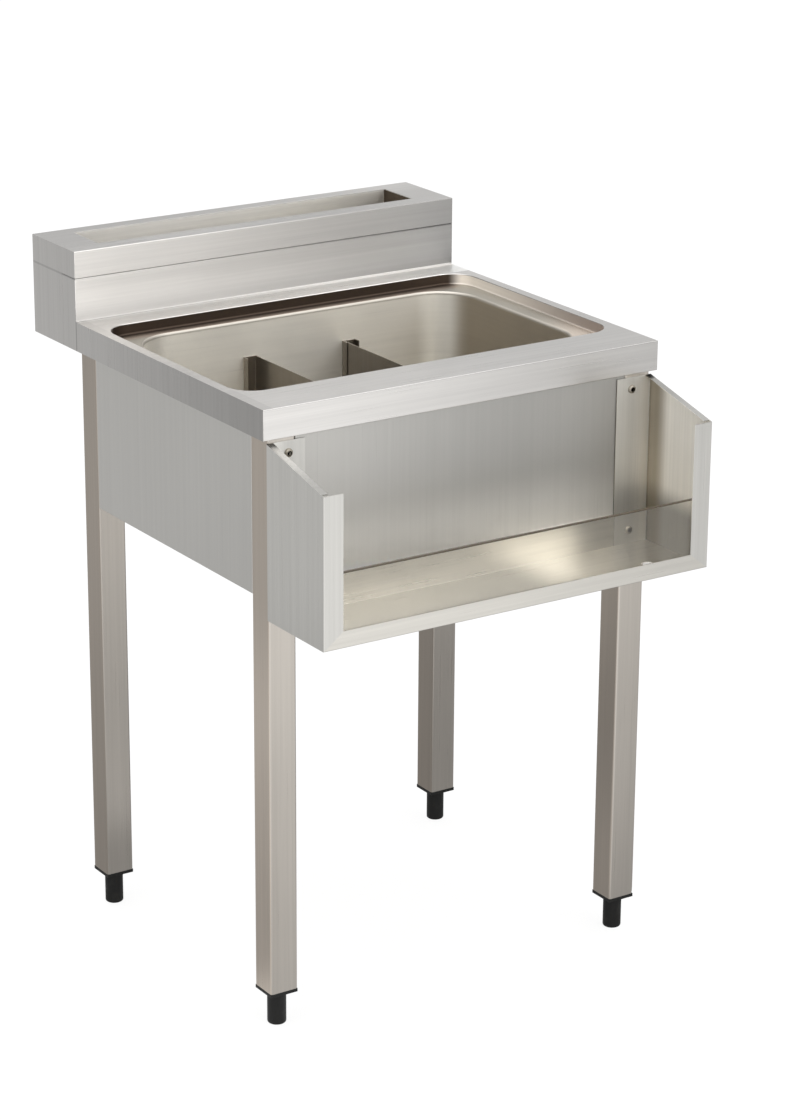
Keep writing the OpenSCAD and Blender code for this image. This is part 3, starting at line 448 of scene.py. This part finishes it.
def bowl_painted_light(place, facing, colour, roughness):
    """Painted shade and reflections: the ledge and the wall over it are brown, almost black at the
    rear, the fold is lighter, and the right wall is dull. The side walls over the ledge are rougher.
    """
    x, y, z = place.parts()
    on_ledge = z.ramp(*LEDGE_BAND, LEDGE_Z)
    on_fold = z.ramp(*MOUTH_BAND, LEDGE_Z) * (1.0 - on_ledge)
    on_wall = z.ramp(*WALL_BAND, LEDGE_Z)
    off_corner = 1.0 - x.ramp(*RIGHT_CORNER_BAND, BOWL_HALF)
    ledge = x.ramp(*LEDGE_RUN).blend(LEDGE_LEFT, y.ramp(*NEAR_RUN).blend(LEDGE_NEAR, LEDGE_RIGHT))
    rear_ledge = y.ramp(*REAR_TINT_BAND, bowl_rear).blend(REAR_LEDGE, REAR_BROWN)
    ledge = (y.ramp(*REAR_LEDGE_BAND, bowl_rear) * off_corner).blend(ledge, rear_ledge)
    at_rear = y.ramp(*REAR_WALL_BAND, bowl_rear) * off_corner
    wall = at_rear.blend(y.ramp(*SIDE_WALL_RUN).blend(SIDE_BROWN, SIDE_LIGHT), REAR_BROWN)
    inside = x.ramp(*RIGHT_WALL_BAND, BOWL_HALF).blend(colour, RIGHT_BROWN)
    below = on_ledge.blend(on_fold.blend(inside, FOLD_LIGHT), ledge)
    return on_wall.blend(below, wall), roughness + on_wall * (1.0 - at_rear) * SIDE_WALL_ROUGH


def rounded(outline, out, z):
    """A ring of points at a height: a rounded rectangle (half width, front, rear, radius) grown by out."""
    half_x, front, rear, radius = outline
    radius += out
    ring = []
    for sx, y, start in ((1, front - out + radius, -90), (1, rear + out - radius, 0),
                         (-1, rear + out - radius, 90), (-1, front - out + radius, 180)):
        for step in range(CORNER_STEPS + 1):
            turn = math.radians(start + 90 * step / CORNER_STEPS)
            ring.append(Vector((sx * (half_x + out - radius) + radius * math.cos(turn),
                                y + radius * math.sin(turn), z)))
    return ring


bowl_steel = brushed_steel("bowl_steel", BOWL_STEEL, "xy", BOWL_ROUGHNESS, streak=0.05, painted_light=bowl_painted_light)
recess = (OPENING_HALF, opening_front, opening_rear, OPENING_RADIUS)
mouth = (BOWL_HALF, bowl_front, bowl_rear, BOWL_RADIUS)
floor_z = LEDGE_Z - BOWL_DEPTH
axis = Vector((0.0, (bowl_front + bowl_rear) / 2, 0.0))
quarter = [math.radians(90 * step / FOLD_STEPS) for step in range(FOLD_STEPS + 1)]
# The inner and the outer skin of the sheet, each from the weld down to the hole in the floor.
skins = []
for under in (0.0, SHEET):
    weld_z = WORK_SURFACE - SHEET - under
    rings = [rounded(recess, WELD_FLANGE, weld_z), rounded(recess, under, weld_z)]
    rings += [rounded(recess, (FOOT_FOLD + under) * math.cos(t) - FOOT_FOLD,
                      LEDGE_Z + FOOT_FOLD - (FOOT_FOLD + under) * math.sin(t)) for t in quarter]
    rings += [rounded(mouth, MOUTH_FOLD - (MOUTH_FOLD - under) * math.sin(t),
                      LEDGE_Z - MOUTH_FOLD + (MOUTH_FOLD - under) * math.cos(t)) for t in quarter]
    rings += [rounded(mouth, (FLOOR_FOLD + under) * math.cos(t) - FLOOR_FOLD,
                      floor_z + FLOOR_FOLD - (FLOOR_FOLD + under) * math.sin(t)) for t in quarter]
    hole = [(point - axis) * Vector((1.0, 1.0, 0.0)) for point in rings[-1]]
    hole_z = Vector((0.0, 0.0, floor_z - under))
    rings.append([axis + point.normalized() * HOLE_R + hole_z for point in hole])
    skins.append(rings)
bm = bmesh.new()
loops = [[bm.verts.new(point) for point in ring] for ring in skins[0] + skins[1][::-1]]
for first, second in zip(loops, loops[1:] + loops[:1]):
    for i in range(len(first)):
        bm.faces.new((first[i - 1], first[i], second[i], second[i - 1]))
bmesh.ops.recalc_face_normals(bm, faces=bm.faces)
dress(bowl_steel, piece_of(bm, "ice_bowl_pressed", "frame", "ice_bowl"))

foam, wire, shader = new_finish("foam")
place = wire.node("TexCoord", output="Object")
pores = wire.node("TexVoronoi", sockets={"Vector": place, "Scale": PORE_SCALE})
skin = place.noise(SKIN_SCALE, detail=4.0) - 0.5
bump = wire.node("Bump", sockets={"Strength": PORE_STRENGTH, "Distance": PORE_RELIEF,
                                  "Height": pores + skin * SKIN_HEIGHT})
feed(shader, Base_Color=(1.0 + skin * SKIN_TINT - pores * PORE_TINT).tint(FOAM), Normal=bump,
     Roughness=FOAM_ROUGHNESS + skin * SKIN_ROUGH)
dress(foam, "foam_jacket")

# ------------------------------------------------------------- Dividers and their guides
# Two steel plates, folded at both ends, part the bowl. Each slides down into two folded
# channels spot welded on the bowl's walls, and lifts out for cleaning.
# The dividers' steel is much darker than the other steel: shade inside the bowl, painted into its colour.
DIVIDER_STEEL, DIVIDER_ROUGHNESS = (0.29, 0.26, 0.225), 0.34
DIVIDER_SHEET, DIVIDER_FOLD, DIVIDER_INNER_FOLD = 0.0010, 0.0018, 0.0008
divider_steel = brushed_steel("divider_steel", DIVIDER_STEEL, "z", DIVIDER_ROUGHNESS)
for side in ("left", "right"):
    low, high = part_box("divider_" + side)
    plate_x = min(abs(low.x), abs(high.x))
    dress(divider_steel, made_from("divider_" + side, [
        (plate_x, low.y, None, DIVIDER_FOLD), (plate_x, high.y, None, DIVIDER_FOLD),
        (plate_x + DIVIDER_SHEET, low.y + DIVIDER_SHEET, None, DIVIDER_INNER_FOLD),
        (plate_x + DIVIDER_SHEET, high.y - DIVIDER_SHEET, None, DIVIDER_INNER_FOLD),
    ], body=side + "_divider"))
dress(divider_steel, made_from("divider_guides"))

# ------------------------------------------------------------------------- Drain plates
# Three perforated plates keep the ice off the bowl's floor, one in each compartment, on short
# welded feet. They lift out.
PLATE_STEEL, PLATE_ROUGHNESS = (0.72, 0.70, 0.65), 0.36
plate_steel = brushed_steel("plate_steel", PLATE_STEEL, "x", PLATE_ROUGHNESS)
dress(plate_steel, "drain_plate_left", "drain_plate_middle", "drain_plate_right")

# ------------------------------------------------------------------------ Waste fitting
# A polished flange and threaded body pass through the bowl's floor, and a strainer is screwed
# on a cross bar. Below are a rubber gasket, a plastic lock nut, and the tail pipe with its nut.
WASTE_STEEL, WASTE_ROUGHNESS = (0.66, 0.65, 0.63), 0.18
RUBBER_BLACK, RUBBER_ROUGHNESS, RUBBER_GRAIN = (0.015, 0.015, 0.015), 0.65, 1400.0
PIPE_GREY, PIPE_ROUGHNESS, PIPE_GRAIN, PIPE_RUB = (0.62, 0.62, 0.60), 0.38, 900.0, 0.06
waste_steel = brushed_steel("waste_steel", WASTE_STEEL, "xy", WASTE_ROUGHNESS, streak=0.03)
dress(waste_steel, "waste_body", "waste_strainer", "strainer_screw")
rubber = moulded_plastic("gasket_rubber", RUBBER_BLACK, RUBBER_ROUGHNESS, RUBBER_GRAIN)
dress(rubber, "waste_gasket")
pipe_plastic = moulded_plastic("pipe_plastic", PIPE_GREY, PIPE_ROUGHNESS, PIPE_GRAIN, rub=PIPE_RUB)
dress(pipe_plastic, "waste_lock_nut", "tail_pipe", "tail_nut")

# ----------------------------------------------------------------------------- Rear box
# A folded cover of brushed steel with a slot in its top closes over the splash back, down to a
# seam. A trough hangs in the slot, and a base and two brackets tie the box to the rear legs.
SEAM_GAP = 0.0004
# The trough's colours carry painted light and shade: a little brighter and warmer to the right, and dark
# brown at its right end.
TROUGH_LEFT, TROUGH_RIGHT = (0.82, 0.805, 0.775, 1.0), (0.85, 0.83, 0.78, 1.0)
TROUGH_END, TROUGH_ROUGHNESS = (0.112, 0.088, 0.067, 1.0), 0.45
TROUGH_RUN, TROUGH_END_X = (0.0, 0.22), 0.2475
TROUGH_FRONT, TROUGH_REAR, TROUGH_HALF = 0.507, 0.577, 0.249
TROUGH_FOLD = 0.004
low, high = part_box("box_shell")
dress(top_steel, made_from("box_shell", [
    (None, low.y, high.z, FOLD_RADIUS), (None, high.y, high.z, FOLD_RADIUS),
    (high.x, None, high.z, FOLD_RADIUS), (high.x, low.y, None, FOLD_RADIUS),
    (high.x, high.y, None, FOLD_RADIUS), (None, low.y, seam_z + SEAM_GAP, SEAM_RADIUS),
]))


def trough_painted_light(place, facing, colour, roughness):
    """Painted light and shade: the trough is a little warmer to the right, and its right end is brown
    shade.
    """
    x = place.parts()[0]
    return (x > TROUGH_END_X).blend(x.ramp(*TROUGH_RUN).blend(colour, TROUGH_RIGHT), TROUGH_END), roughness


trough_steel = brushed_steel("trough_steel", TROUGH_LEFT, "xy", TROUGH_ROUGHNESS, painted_light=trough_painted_light)
low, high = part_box("rear_trough")
trough_floor = low.z + SHEET
trough_front, trough_rear = table_front + TROUGH_FRONT, table_front + TROUGH_REAR
dress(trough_steel, made_from("rear_trough", [
    (TROUGH_HALF, trough_front, None, TROUGH_FOLD), (TROUGH_HALF, trough_rear, None, TROUGH_FOLD),
    (TROUGH_HALF, None, trough_floor, TROUGH_FOLD),
    (None, trough_front, trough_floor, TROUGH_FOLD), (None, trough_rear, trough_floor, TROUGH_FOLD),
]))
dress(hidden_steel, "box_base", "box_brackets")

# ------------------------------------------------------------------------- Skirt panels
# Thin steel panels between the legs hide the bowl. Each has its four edges folded back, stands
# half a millimetre behind the legs' faces, and is spot welded to them. The grain runs upright.
SKIRT_FOLD = 0.0009
SKIRT_STEEL, SKIRT_ROUGHNESS = (0.60, 0.59, 0.565), 0.36
# These set where the front panel's light and shade is painted, and how much, and its roughness.
SKIRT_FRONT_Y = -0.225
SKIRT_GLEAM, SKIRT_FADE, SKIRT_RUN = 0.08, 0.36, (-0.40, 0.10)
SKIRT_LOW_GLEAM, SKIRT_LOW, SKIRT_FRONT_ROUGH = 1.05, (0.58, 0.70), 0.14


def skirt_painted_light(place, facing, colour, roughness):
    """Painted light and shade: the front panel is duller to the right and brighter low down behind the
    bottle rail. It is also rougher.
    """
    x, y, z = place.parts()
    front = y < SKIRT_FRONT_Y
    low_down = 1.0 - z.ramp(*SKIRT_LOW)
    shade = 1.0 + front * (SKIRT_GLEAM - x.ramp(*SKIRT_RUN) * SKIRT_FADE + low_down * SKIRT_LOW_GLEAM)
    return shade.tint(colour), roughness + front * SKIRT_FRONT_ROUGH


skirt_steel = brushed_steel("skirt_steel", SKIRT_STEEL, "z", SKIRT_ROUGHNESS, streak=0.05, painted_light=skirt_painted_light)
for side in ("left", "right", "front", "rear"):
    low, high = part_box("skirt_" + side)
    if side in ("left", "right"):
        face_x = max(abs(low.x), abs(high.x))
        folds = [(face_x, low.y, None, SKIRT_FOLD), (face_x, high.y, None, SKIRT_FOLD),
                 (face_x, None, low.z, SKIRT_FOLD)]
    else:
        face_y = low.y if side == "front" else high.y
        folds = [(high.x, face_y, None, SKIRT_FOLD), (None, face_y, low.z, SKIRT_FOLD)]
    dress(skirt_steel, made_from("skirt_" + side, folds))

# -------------------------------------------------------------------------- Bottle rail
# A folded tray with a front lip, between two end plates whose front flanges meet the lip in a
# mitre. The end plates' rear flanges are screwed to the front legs.
RAIL_FOLD, SLOPE_FOLD, SLOPE_H = 0.0022, 0.0016, 0.034
RAIL_STEEL, RAIL_ROUGHNESS = (0.64, 0.63, 0.60, 1.0), 0.30
# INNER_BRIGHT and INNER_BROWN are painted light and shade inside the end plates. The bands and amounts below
# set where light and shade are painted on them, and their roughness.
INNER_BRIGHT, INNER_BROWN = (0.95, 0.92, 0.86, 1.0), (0.34, 0.30, 0.235, 1.0)
INSIDE_FACING = -0.1
NEAR_LEG_BAND, BEND_BAND, FLANGE_W = (-0.048, -0.016), (-0.006, -0.002), 0.030
BOTTOM_BAND, LOW_BAND, FLANGE_RUN = (0.618, 0.656), (0.65, 0.76), (0.262, 0.285)
SLOPE_DIM, SLOPE_FACING, BEND_DIM = 0.36, 0.5, 0.3
FLANGE_GLEAM, FLANGE_LOW_GLEAM, NEAR_LEG_GLEAM = 0.35, 0.20, 0.3
BOTTOM_DIM, BOTTOM_LEG_GLEAM, FLANGE_BOTTOM_DIM = 0.62, 0.15, 0.10
INSIDE_ROUGH, FLANGE_ROUGH = 0.28, 0.15
TRAY_STEEL = (0.50, 0.485, 0.45)
# The lip, rear wall and floor tones below paint light and shade on the tray.
LIP_BRIGHT, REAR_WALL_BRIGHT, LIP_Y = 1.36, 1.85, -0.30
FLOOR_TONE, FLOOR_FADE, FLOOR_FADE_RUN = 0.58, 0.10, (-0.15, 0.03)
FLOOR_GLEAM, FLOOR_GLEAM_RUN = 0.94, (0.05, 0.14)
low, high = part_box("rail_tray")
rail_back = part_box("rail_end_left")[1].y


def end_plate_painted_light(place, facing, colour, roughness):
    """Painted light and shade: inside, the end plates are brighter, browner beside the legs and darker
    at the bottom, and rougher.

    Their rear flanges are brighter low down and outwards, and rougher, and the sloping tops are duller.
    """
    x, y, z = place.parts()
    inside = (x * facing[0]) < INSIDE_FACING
    near_leg = y.ramp(*NEAR_LEG_BAND, rail_back)
    bend = y.ramp(*BEND_BAND, rail_back)
    flange = (facing[1] < -SQUARE_ON) * (y > rail_back - FLANGE_W)
    bottom = 1.0 - z.ramp(*BOTTOM_BAND)
    low_down = 1.0 - z.ramp(*LOW_BAND)
    inner = inside.blend(colour, near_leg.blend(INNER_BRIGHT, INNER_BROWN))
    shade = 1.0 - (facing[2] > SLOPE_FACING) * SLOPE_DIM - inside * bend * BEND_DIM
    shade = shade + flange * (abs(x).ramp(*FLANGE_RUN) * FLANGE_GLEAM + low_down * FLANGE_LOW_GLEAM)
    shade = shade + inside * low_down * near_leg * NEAR_LEG_GLEAM
    inside_dim = inside * (BOTTOM_DIM - near_leg * BOTTOM_LEG_GLEAM)
    shade = shade * (1.0 - bottom * (inside_dim + flange * FLANGE_BOTTOM_DIM))
    return shade.tint(inner), roughness + inside * INSIDE_ROUGH + flange * FLANGE_ROUGH


def tray_painted_light(place, facing, colour, roughness):
    """Painted light and shade: the tray's lip and rear wall are bright, and its floor is dull but for
    its right end.
    """
    x, y, z = place.parts()
    upright = facing[1] < -SQUARE_ON
    lip = upright * (y < LIP_Y)
    shade = FLOOR_TONE - x.ramp(*FLOOR_FADE_RUN) * FLOOR_FADE + x.ramp(*FLOOR_GLEAM_RUN) * FLOOR_GLEAM
    shade = shade + upright * (REAR_WALL_BRIGHT - shade) + lip * (LIP_BRIGHT - REAR_WALL_BRIGHT)
    return shade.tint(colour), roughness


rail_steel = brushed_steel("rail_steel", RAIL_STEEL, "z", RAIL_ROUGHNESS, painted_light=end_plate_painted_light)
tray_steel = brushed_steel("tray_steel", TRAY_STEEL, "x", RAIL_ROUGHNESS, painted_light=tray_painted_light)
rail_floor = low.z + SHEET
dress(tray_steel, made_from("rail_tray", [
    (None, low.y, low.z, RAIL_FOLD), (None, low.y + SHEET, rail_floor, RAIL_FOLD - SHEET),
    (None, high.y, low.z, RAIL_FOLD), (None, high.y - SHEET, rail_floor, RAIL_FOLD - SHEET),
]))
for side in ("left", "right"):
    low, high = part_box("rail_end_" + side)
    far_x = max(abs(low.x), abs(high.x))
    dress(rail_steel, made_from("rail_end_" + side, [
        (far_x, low.y, None, RAIL_FOLD), (far_x - SHEET, low.y + SHEET, None, RAIL_FOLD - SHEET),
        (far_x, high.y, None, RAIL_FOLD), (far_x - SHEET, high.y - SHEET, None, RAIL_FOLD - SHEET),
        (lambda p, x=far_x, bottom=high.z - SLOPE_H: lies_at(p, x, None, None) and p.z > bottom, SLOPE_FOLD),
    ]))

# ----------------------------------------------------------------------------- Retainer
# A clear bronze-tinted acrylic sheet stands behind the rail's front lip and keeps bottles in.
# It is held between the front flanges and steel lugs, and lifts out. Its cut edges show dark.
ACRYLIC_TINT = (0.95, 0.93, 0.885, 1.0)
ACRYLIC_IOR = 1.49
ACRYLIC_ROUGHNESS = 0.02
WIPE_SCALE, WIPE_EDGE, WIPE_ROUGH = 11.0, (0.45, 0.8), 0.05
EDGE_BRONZE, EDGE_ROUGHNESS = (0.050, 0.036, 0.020), 0.30
EDGE_BAND, EDGE_EASE, BROAD_FACE = 0.0018, 0.0004, 0.9
SAW_SCALE, SAW_TINT, SAW_ROUGH = 700.0, 0.5, 0.2
clear, wire, shader = new_finish("bronze_acrylic")
wipe = wire.node("TexCoord", output="Object").noise(WIPE_SCALE, detail=5.0)
feed(shader, Base_Color=ACRYLIC_TINT, Roughness=ACRYLIC_ROUGHNESS + wipe.ramp(*WIPE_EDGE) * WIPE_ROUGH,
     IOR=ACRYLIC_IOR, Transmission_Weight=1.0)
edge, wire, shader = new_finish("bronze_edge")
saw = wire.node("TexCoord", output="Object").noise(SAW_SCALE, detail=2.0) - 0.5
feed(shader, Roughness=EDGE_ROUGHNESS + saw * SAW_ROUGH, Base_Color=(1.0 + saw * SAW_TINT).tint(EDGE_BRONZE))
retainer = made_from("rail_retainer", ease=EDGE_EASE, body="retainer")
edge_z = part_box("rail_retainer")[1].z - EDGE_BAND
bm = bmesh.new()
bm.from_mesh(retainer.data)
bmesh.ops.bisect_plane(bm, geom=bm.verts[:] + bm.edges[:] + bm.faces[:],
                       plane_co=(0, 0, edge_z), plane_no=(0, 0, 1))
bm.to_mesh(retainer.data)
bm.free()
dress(clear, retainer)
retainer.data.materials.append(edge)
for face in retainer.data.polygons:
    face.material_index = 0 if abs(face.normal.y) > BROAD_FACE and face.center.z < edge_z else 1
lug_steel = brushed_steel("lug_steel", TRAY_STEEL, "z", RAIL_ROUGHNESS)
dress(lug_steel, "retainer_lugs")

# --------------------------------------------------------------------------- Rail screws
# Button-head screws with a hexagon socket hold the rail's rear flanges to the front legs, and
# nuts pull up behind the legs' front walls.
SCREW_STEEL, SCREW_ROUGHNESS = (0.36, 0.33, 0.28), 0.60
SOCKET_ACROSS, SOCKET_DEPTH = 0.0020, 0.00035
HEAD_R, HEAD_H, SHANK_R = 0.0057, 0.0030, 0.0030
BUTTON = ((0.0032, 0.0), (0.0047, 0.0006), (0.0055, 0.0016), (HEAD_R, HEAD_H))
SCREW_SIDES = 24
low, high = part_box("rail_screws")
bm = bmesh.new()
for x in (low.x + HEAD_R, high.x - HEAD_R):
    for z in (low.z + HEAD_R, high.z - HEAD_R):
        turn = Matrix.Translation((x, low.y, z)) @ Matrix.Rotation(math.radians(-90), 4, "X")
        hexagon = bmesh.ops.create_circle(bm, radius=SOCKET_ACROSS, segments=6, matrix=turn)["verts"]
        hex_edges = [e for e in bm.edges if set(e.verts) <= set(hexagon)]
        cut = bmesh.ops.subdivide_edges(bm, edges=hex_edges, cuts=3)
        hexagon = set(hexagon) | {g for g in cut["geom_inner"] if isinstance(g, bmesh.types.BMVert)}
        socket = [e for e in bm.edges if set(e.verts) <= hexagon]
        rings = [socket]
        for r, depth in BUTTON + ((SHANK_R, HEAD_H), (SHANK_R, high.y - low.y)):
            ring = bmesh.ops.create_circle(bm, radius=r, segments=SCREW_SIDES,
                                           matrix=turn @ Matrix.Translation((0, 0, depth)))["verts"]
            rings.append([e for e in bm.edges if set(e.verts) <= set(ring)])
        for first, second in zip(rings, rings[1:]):
            bmesh.ops.bridge_loops(bm, edges=first + second)
        bmesh.ops.contextual_create(bm, geom=rings[-1])
        sunk = bmesh.ops.extrude_edge_only(bm, edges=socket)["geom"]
        sunk_verts = [g for g in sunk if isinstance(g, bmesh.types.BMVert)]
        bmesh.ops.translate(bm, vec=(0, SOCKET_DEPTH, 0), verts=sunk_verts)
        bmesh.ops.contextual_create(bm, geom=[g for g in sunk if isinstance(g, bmesh.types.BMEdge)])
bmesh.ops.recalc_face_normals(bm, faces=bm.faces)
screw_steel = brushed_steel("screw_steel", SCREW_STEEL, "xy", SCREW_ROUGHNESS, streak=0.03)
dress(screw_steel, piece_of(bm, "rail_screws_turned", "frame", "rail_screws"), "rail_nuts")

# ------------------------------------------------------------------------------- Studio
# A pale seamless floor and backdrop, two large soft lamps, and the camera at the photograph's
# angle. The floor and the world are graded, bright in front and darker behind on the left.
WHITE = (1.0, 1.0, 1.0, 1.0)
BRIGHT_SIDE, BRIGHT_RUN = (-0.35, -0.94, 0.0), (0.42, 0.78)
SIDE_GLOW, BRIGHT_GLOW = 0.68, 1.20
OVERHEAD_GLOW, OVERHEAD_RUN = 1.9, (0.53, 0.97)
FLOOR_SIZE, FLOOR_WHITE, FLOOR_ROUGHNESS = 14.0, (0.92, 0.92, 0.92, 1.0), 0.9
NEAR_SHADE, NEAR_SHADE_RUN = 0.50, (0.2, 1.9)
FLOOR_CLEAR = 0.90
FRONT_LAMP, FRONT_LAMP_SIZE, FRONT_LAMP_WATTS = (1.6, -3.2, 2.6), 2.4, 30.0
LEFT_LAMP, LEFT_LAMP_SIZE, LEFT_LAMP_WATTS = (-3.2, -0.8, 2.4), 2.0, 10.0
LAMP_AIM = Vector((0.0, 0.0, 0.6))
CAMERA_PLACE = Vector((-2.2837, -3.5559, 1.9950))
YAW, PITCH, ROLL = 33.342, 19.170, 0.384
SENSOR_MM = 36.0
PHOTO_WIDTH_PX, PHOTO_HEIGHT_PX = 800, 1120
FOCUS_PX, CENTRE_X_PX, CENTRE_Y_PX = 3332.8, 400.35, 558.27


def graded(direction):
    """How bright the studio is in a level direction: brighter in front on the left."""
    level = direction.node("VectorMath", {"operation": "MULTIPLY"}, {0: direction, 1: (1.0, 1.0, 0.0)})
    flat = level.node("VectorMath", {"operation": "NORMALIZE"}, {0: level})
    towards = flat.node("VectorMath", {"operation": "DOT_PRODUCT"}, {0: flat, 1: BRIGHT_SIDE}, "Value")
    return towards.ramp(*BRIGHT_RUN) * (BRIGHT_GLOW - SIDE_GLOW) + SIDE_GLOW


world = bpy.data.worlds.new("studio")
bpy.context.scene.world = world
world.use_nodes = True
wire = Wire(world.node_tree)
background = world.node_tree.nodes["Background"]
seen = wire.node("LightPath", output="Is Camera Ray")
sky = wire.node("TexCoord", output="Generated")
glow = graded(sky) + sky.parts()[2].ramp(*OVERHEAD_RUN) * OVERHEAD_GLOW
strength = seen + (1.0 - seen) * glow
world.node_tree.links.new(strength.socket, background.inputs["Strength"])
background.inputs["Color"].default_value = WHITE

bm = bmesh.new()
bmesh.ops.create_grid(bm, x_segments=1, y_segments=1, size=FLOOR_SIZE)
floor_mesh = bpy.data.meshes.new("floor")
bm.to_mesh(floor_mesh)
bm.free()
floor = bpy.data.objects.new("floor", floor_mesh)
bpy.context.scene.collection.objects.link(floor)
paper, wire, shader = new_finish("floor_paper")
feed(shader, Base_Color=FLOOR_WHITE, Roughness=FLOOR_ROUGHNESS, Specular_IOR_Level=0.0)
seen = wire.node("LightPath", output="Is Camera Ray")
mirrored = wire.node("LightPath", output="Is Glossy Ray")
through = wire.node("LightPath", output="Is Transmission Ray")
spot = wire.node("NewGeometry", output="Position")
distance = wire.node("VectorMath", {"operation": "LENGTH"}, {0: spot}, "Value")
glow = graded(spot) * (distance.ramp(*NEAR_SHADE_RUN) * (1.0 - NEAR_SHADE) + NEAR_SHADE)
lit = wire.node("Emission", sockets={"Strength": seen + (1.0 - seen) * glow})
share = wire.math("MINIMUM", (seen + through) * FLOOR_CLEAR + mirrored, 1.0)
mixed = wire.node("MixShader", sockets={0: share, 1: Wire(paper.node_tree, shader.outputs[0]), 2: lit})
paper.node_tree.links.new(mixed.socket, paper.node_tree.nodes["Material Output"].inputs["Surface"])
floor.data.materials.append(paper)

for name, lamp_place, size, power in (("front_lamp", FRONT_LAMP, FRONT_LAMP_SIZE, FRONT_LAMP_WATTS),
                                      ("left_lamp", LEFT_LAMP, LEFT_LAMP_SIZE, LEFT_LAMP_WATTS)):
    lamp = bpy.data.lights.new(name, "AREA")
    lamp.shape, lamp.size, lamp.size_y, lamp.energy = "RECTANGLE", size, size, power
    lamp_object = bpy.data.objects.new(name, lamp)
    bpy.context.scene.collection.objects.link(lamp_object)
    aim = (LAMP_AIM - Vector(lamp_place)).to_track_quat("-Z", "Y").to_matrix().to_4x4()
    lamp_object.matrix_world = Matrix.Translation(lamp_place) @ aim

yaw, pitch, roll = (math.radians(angle) for angle in (YAW, PITCH, ROLL))
forward = Vector((math.sin(yaw) * math.cos(pitch), math.cos(yaw) * math.cos(pitch), -math.sin(pitch)))
level = Vector((math.cos(yaw), -math.sin(yaw), 0.0))
upward = level.cross(forward)
right = level * math.cos(roll) + upward * math.sin(roll)
up = upward * math.cos(roll) - level * math.sin(roll)
lens = bpy.data.cameras.new("photo_camera")
lens.sensor_fit, lens.sensor_width = "AUTO", SENSOR_MM
lens.lens = FOCUS_PX * SENSOR_MM / PHOTO_HEIGHT_PX
lens.shift_x = (PHOTO_WIDTH_PX / 2 - CENTRE_X_PX) / PHOTO_HEIGHT_PX
lens.shift_y = (CENTRE_Y_PX - PHOTO_HEIGHT_PX / 2) / PHOTO_HEIGHT_PX
camera = bpy.data.objects.new("photo_camera", lens)
bpy.context.scene.collection.objects.link(camera)
camera.matrix_world = Matrix.Translation(CAMERA_PLACE) @ Matrix((right, up, -forward)).transposed().to_4x4()
bpy.context.scene.camera = camera
bpy.context.scene.view_settings.view_transform = "Standard"
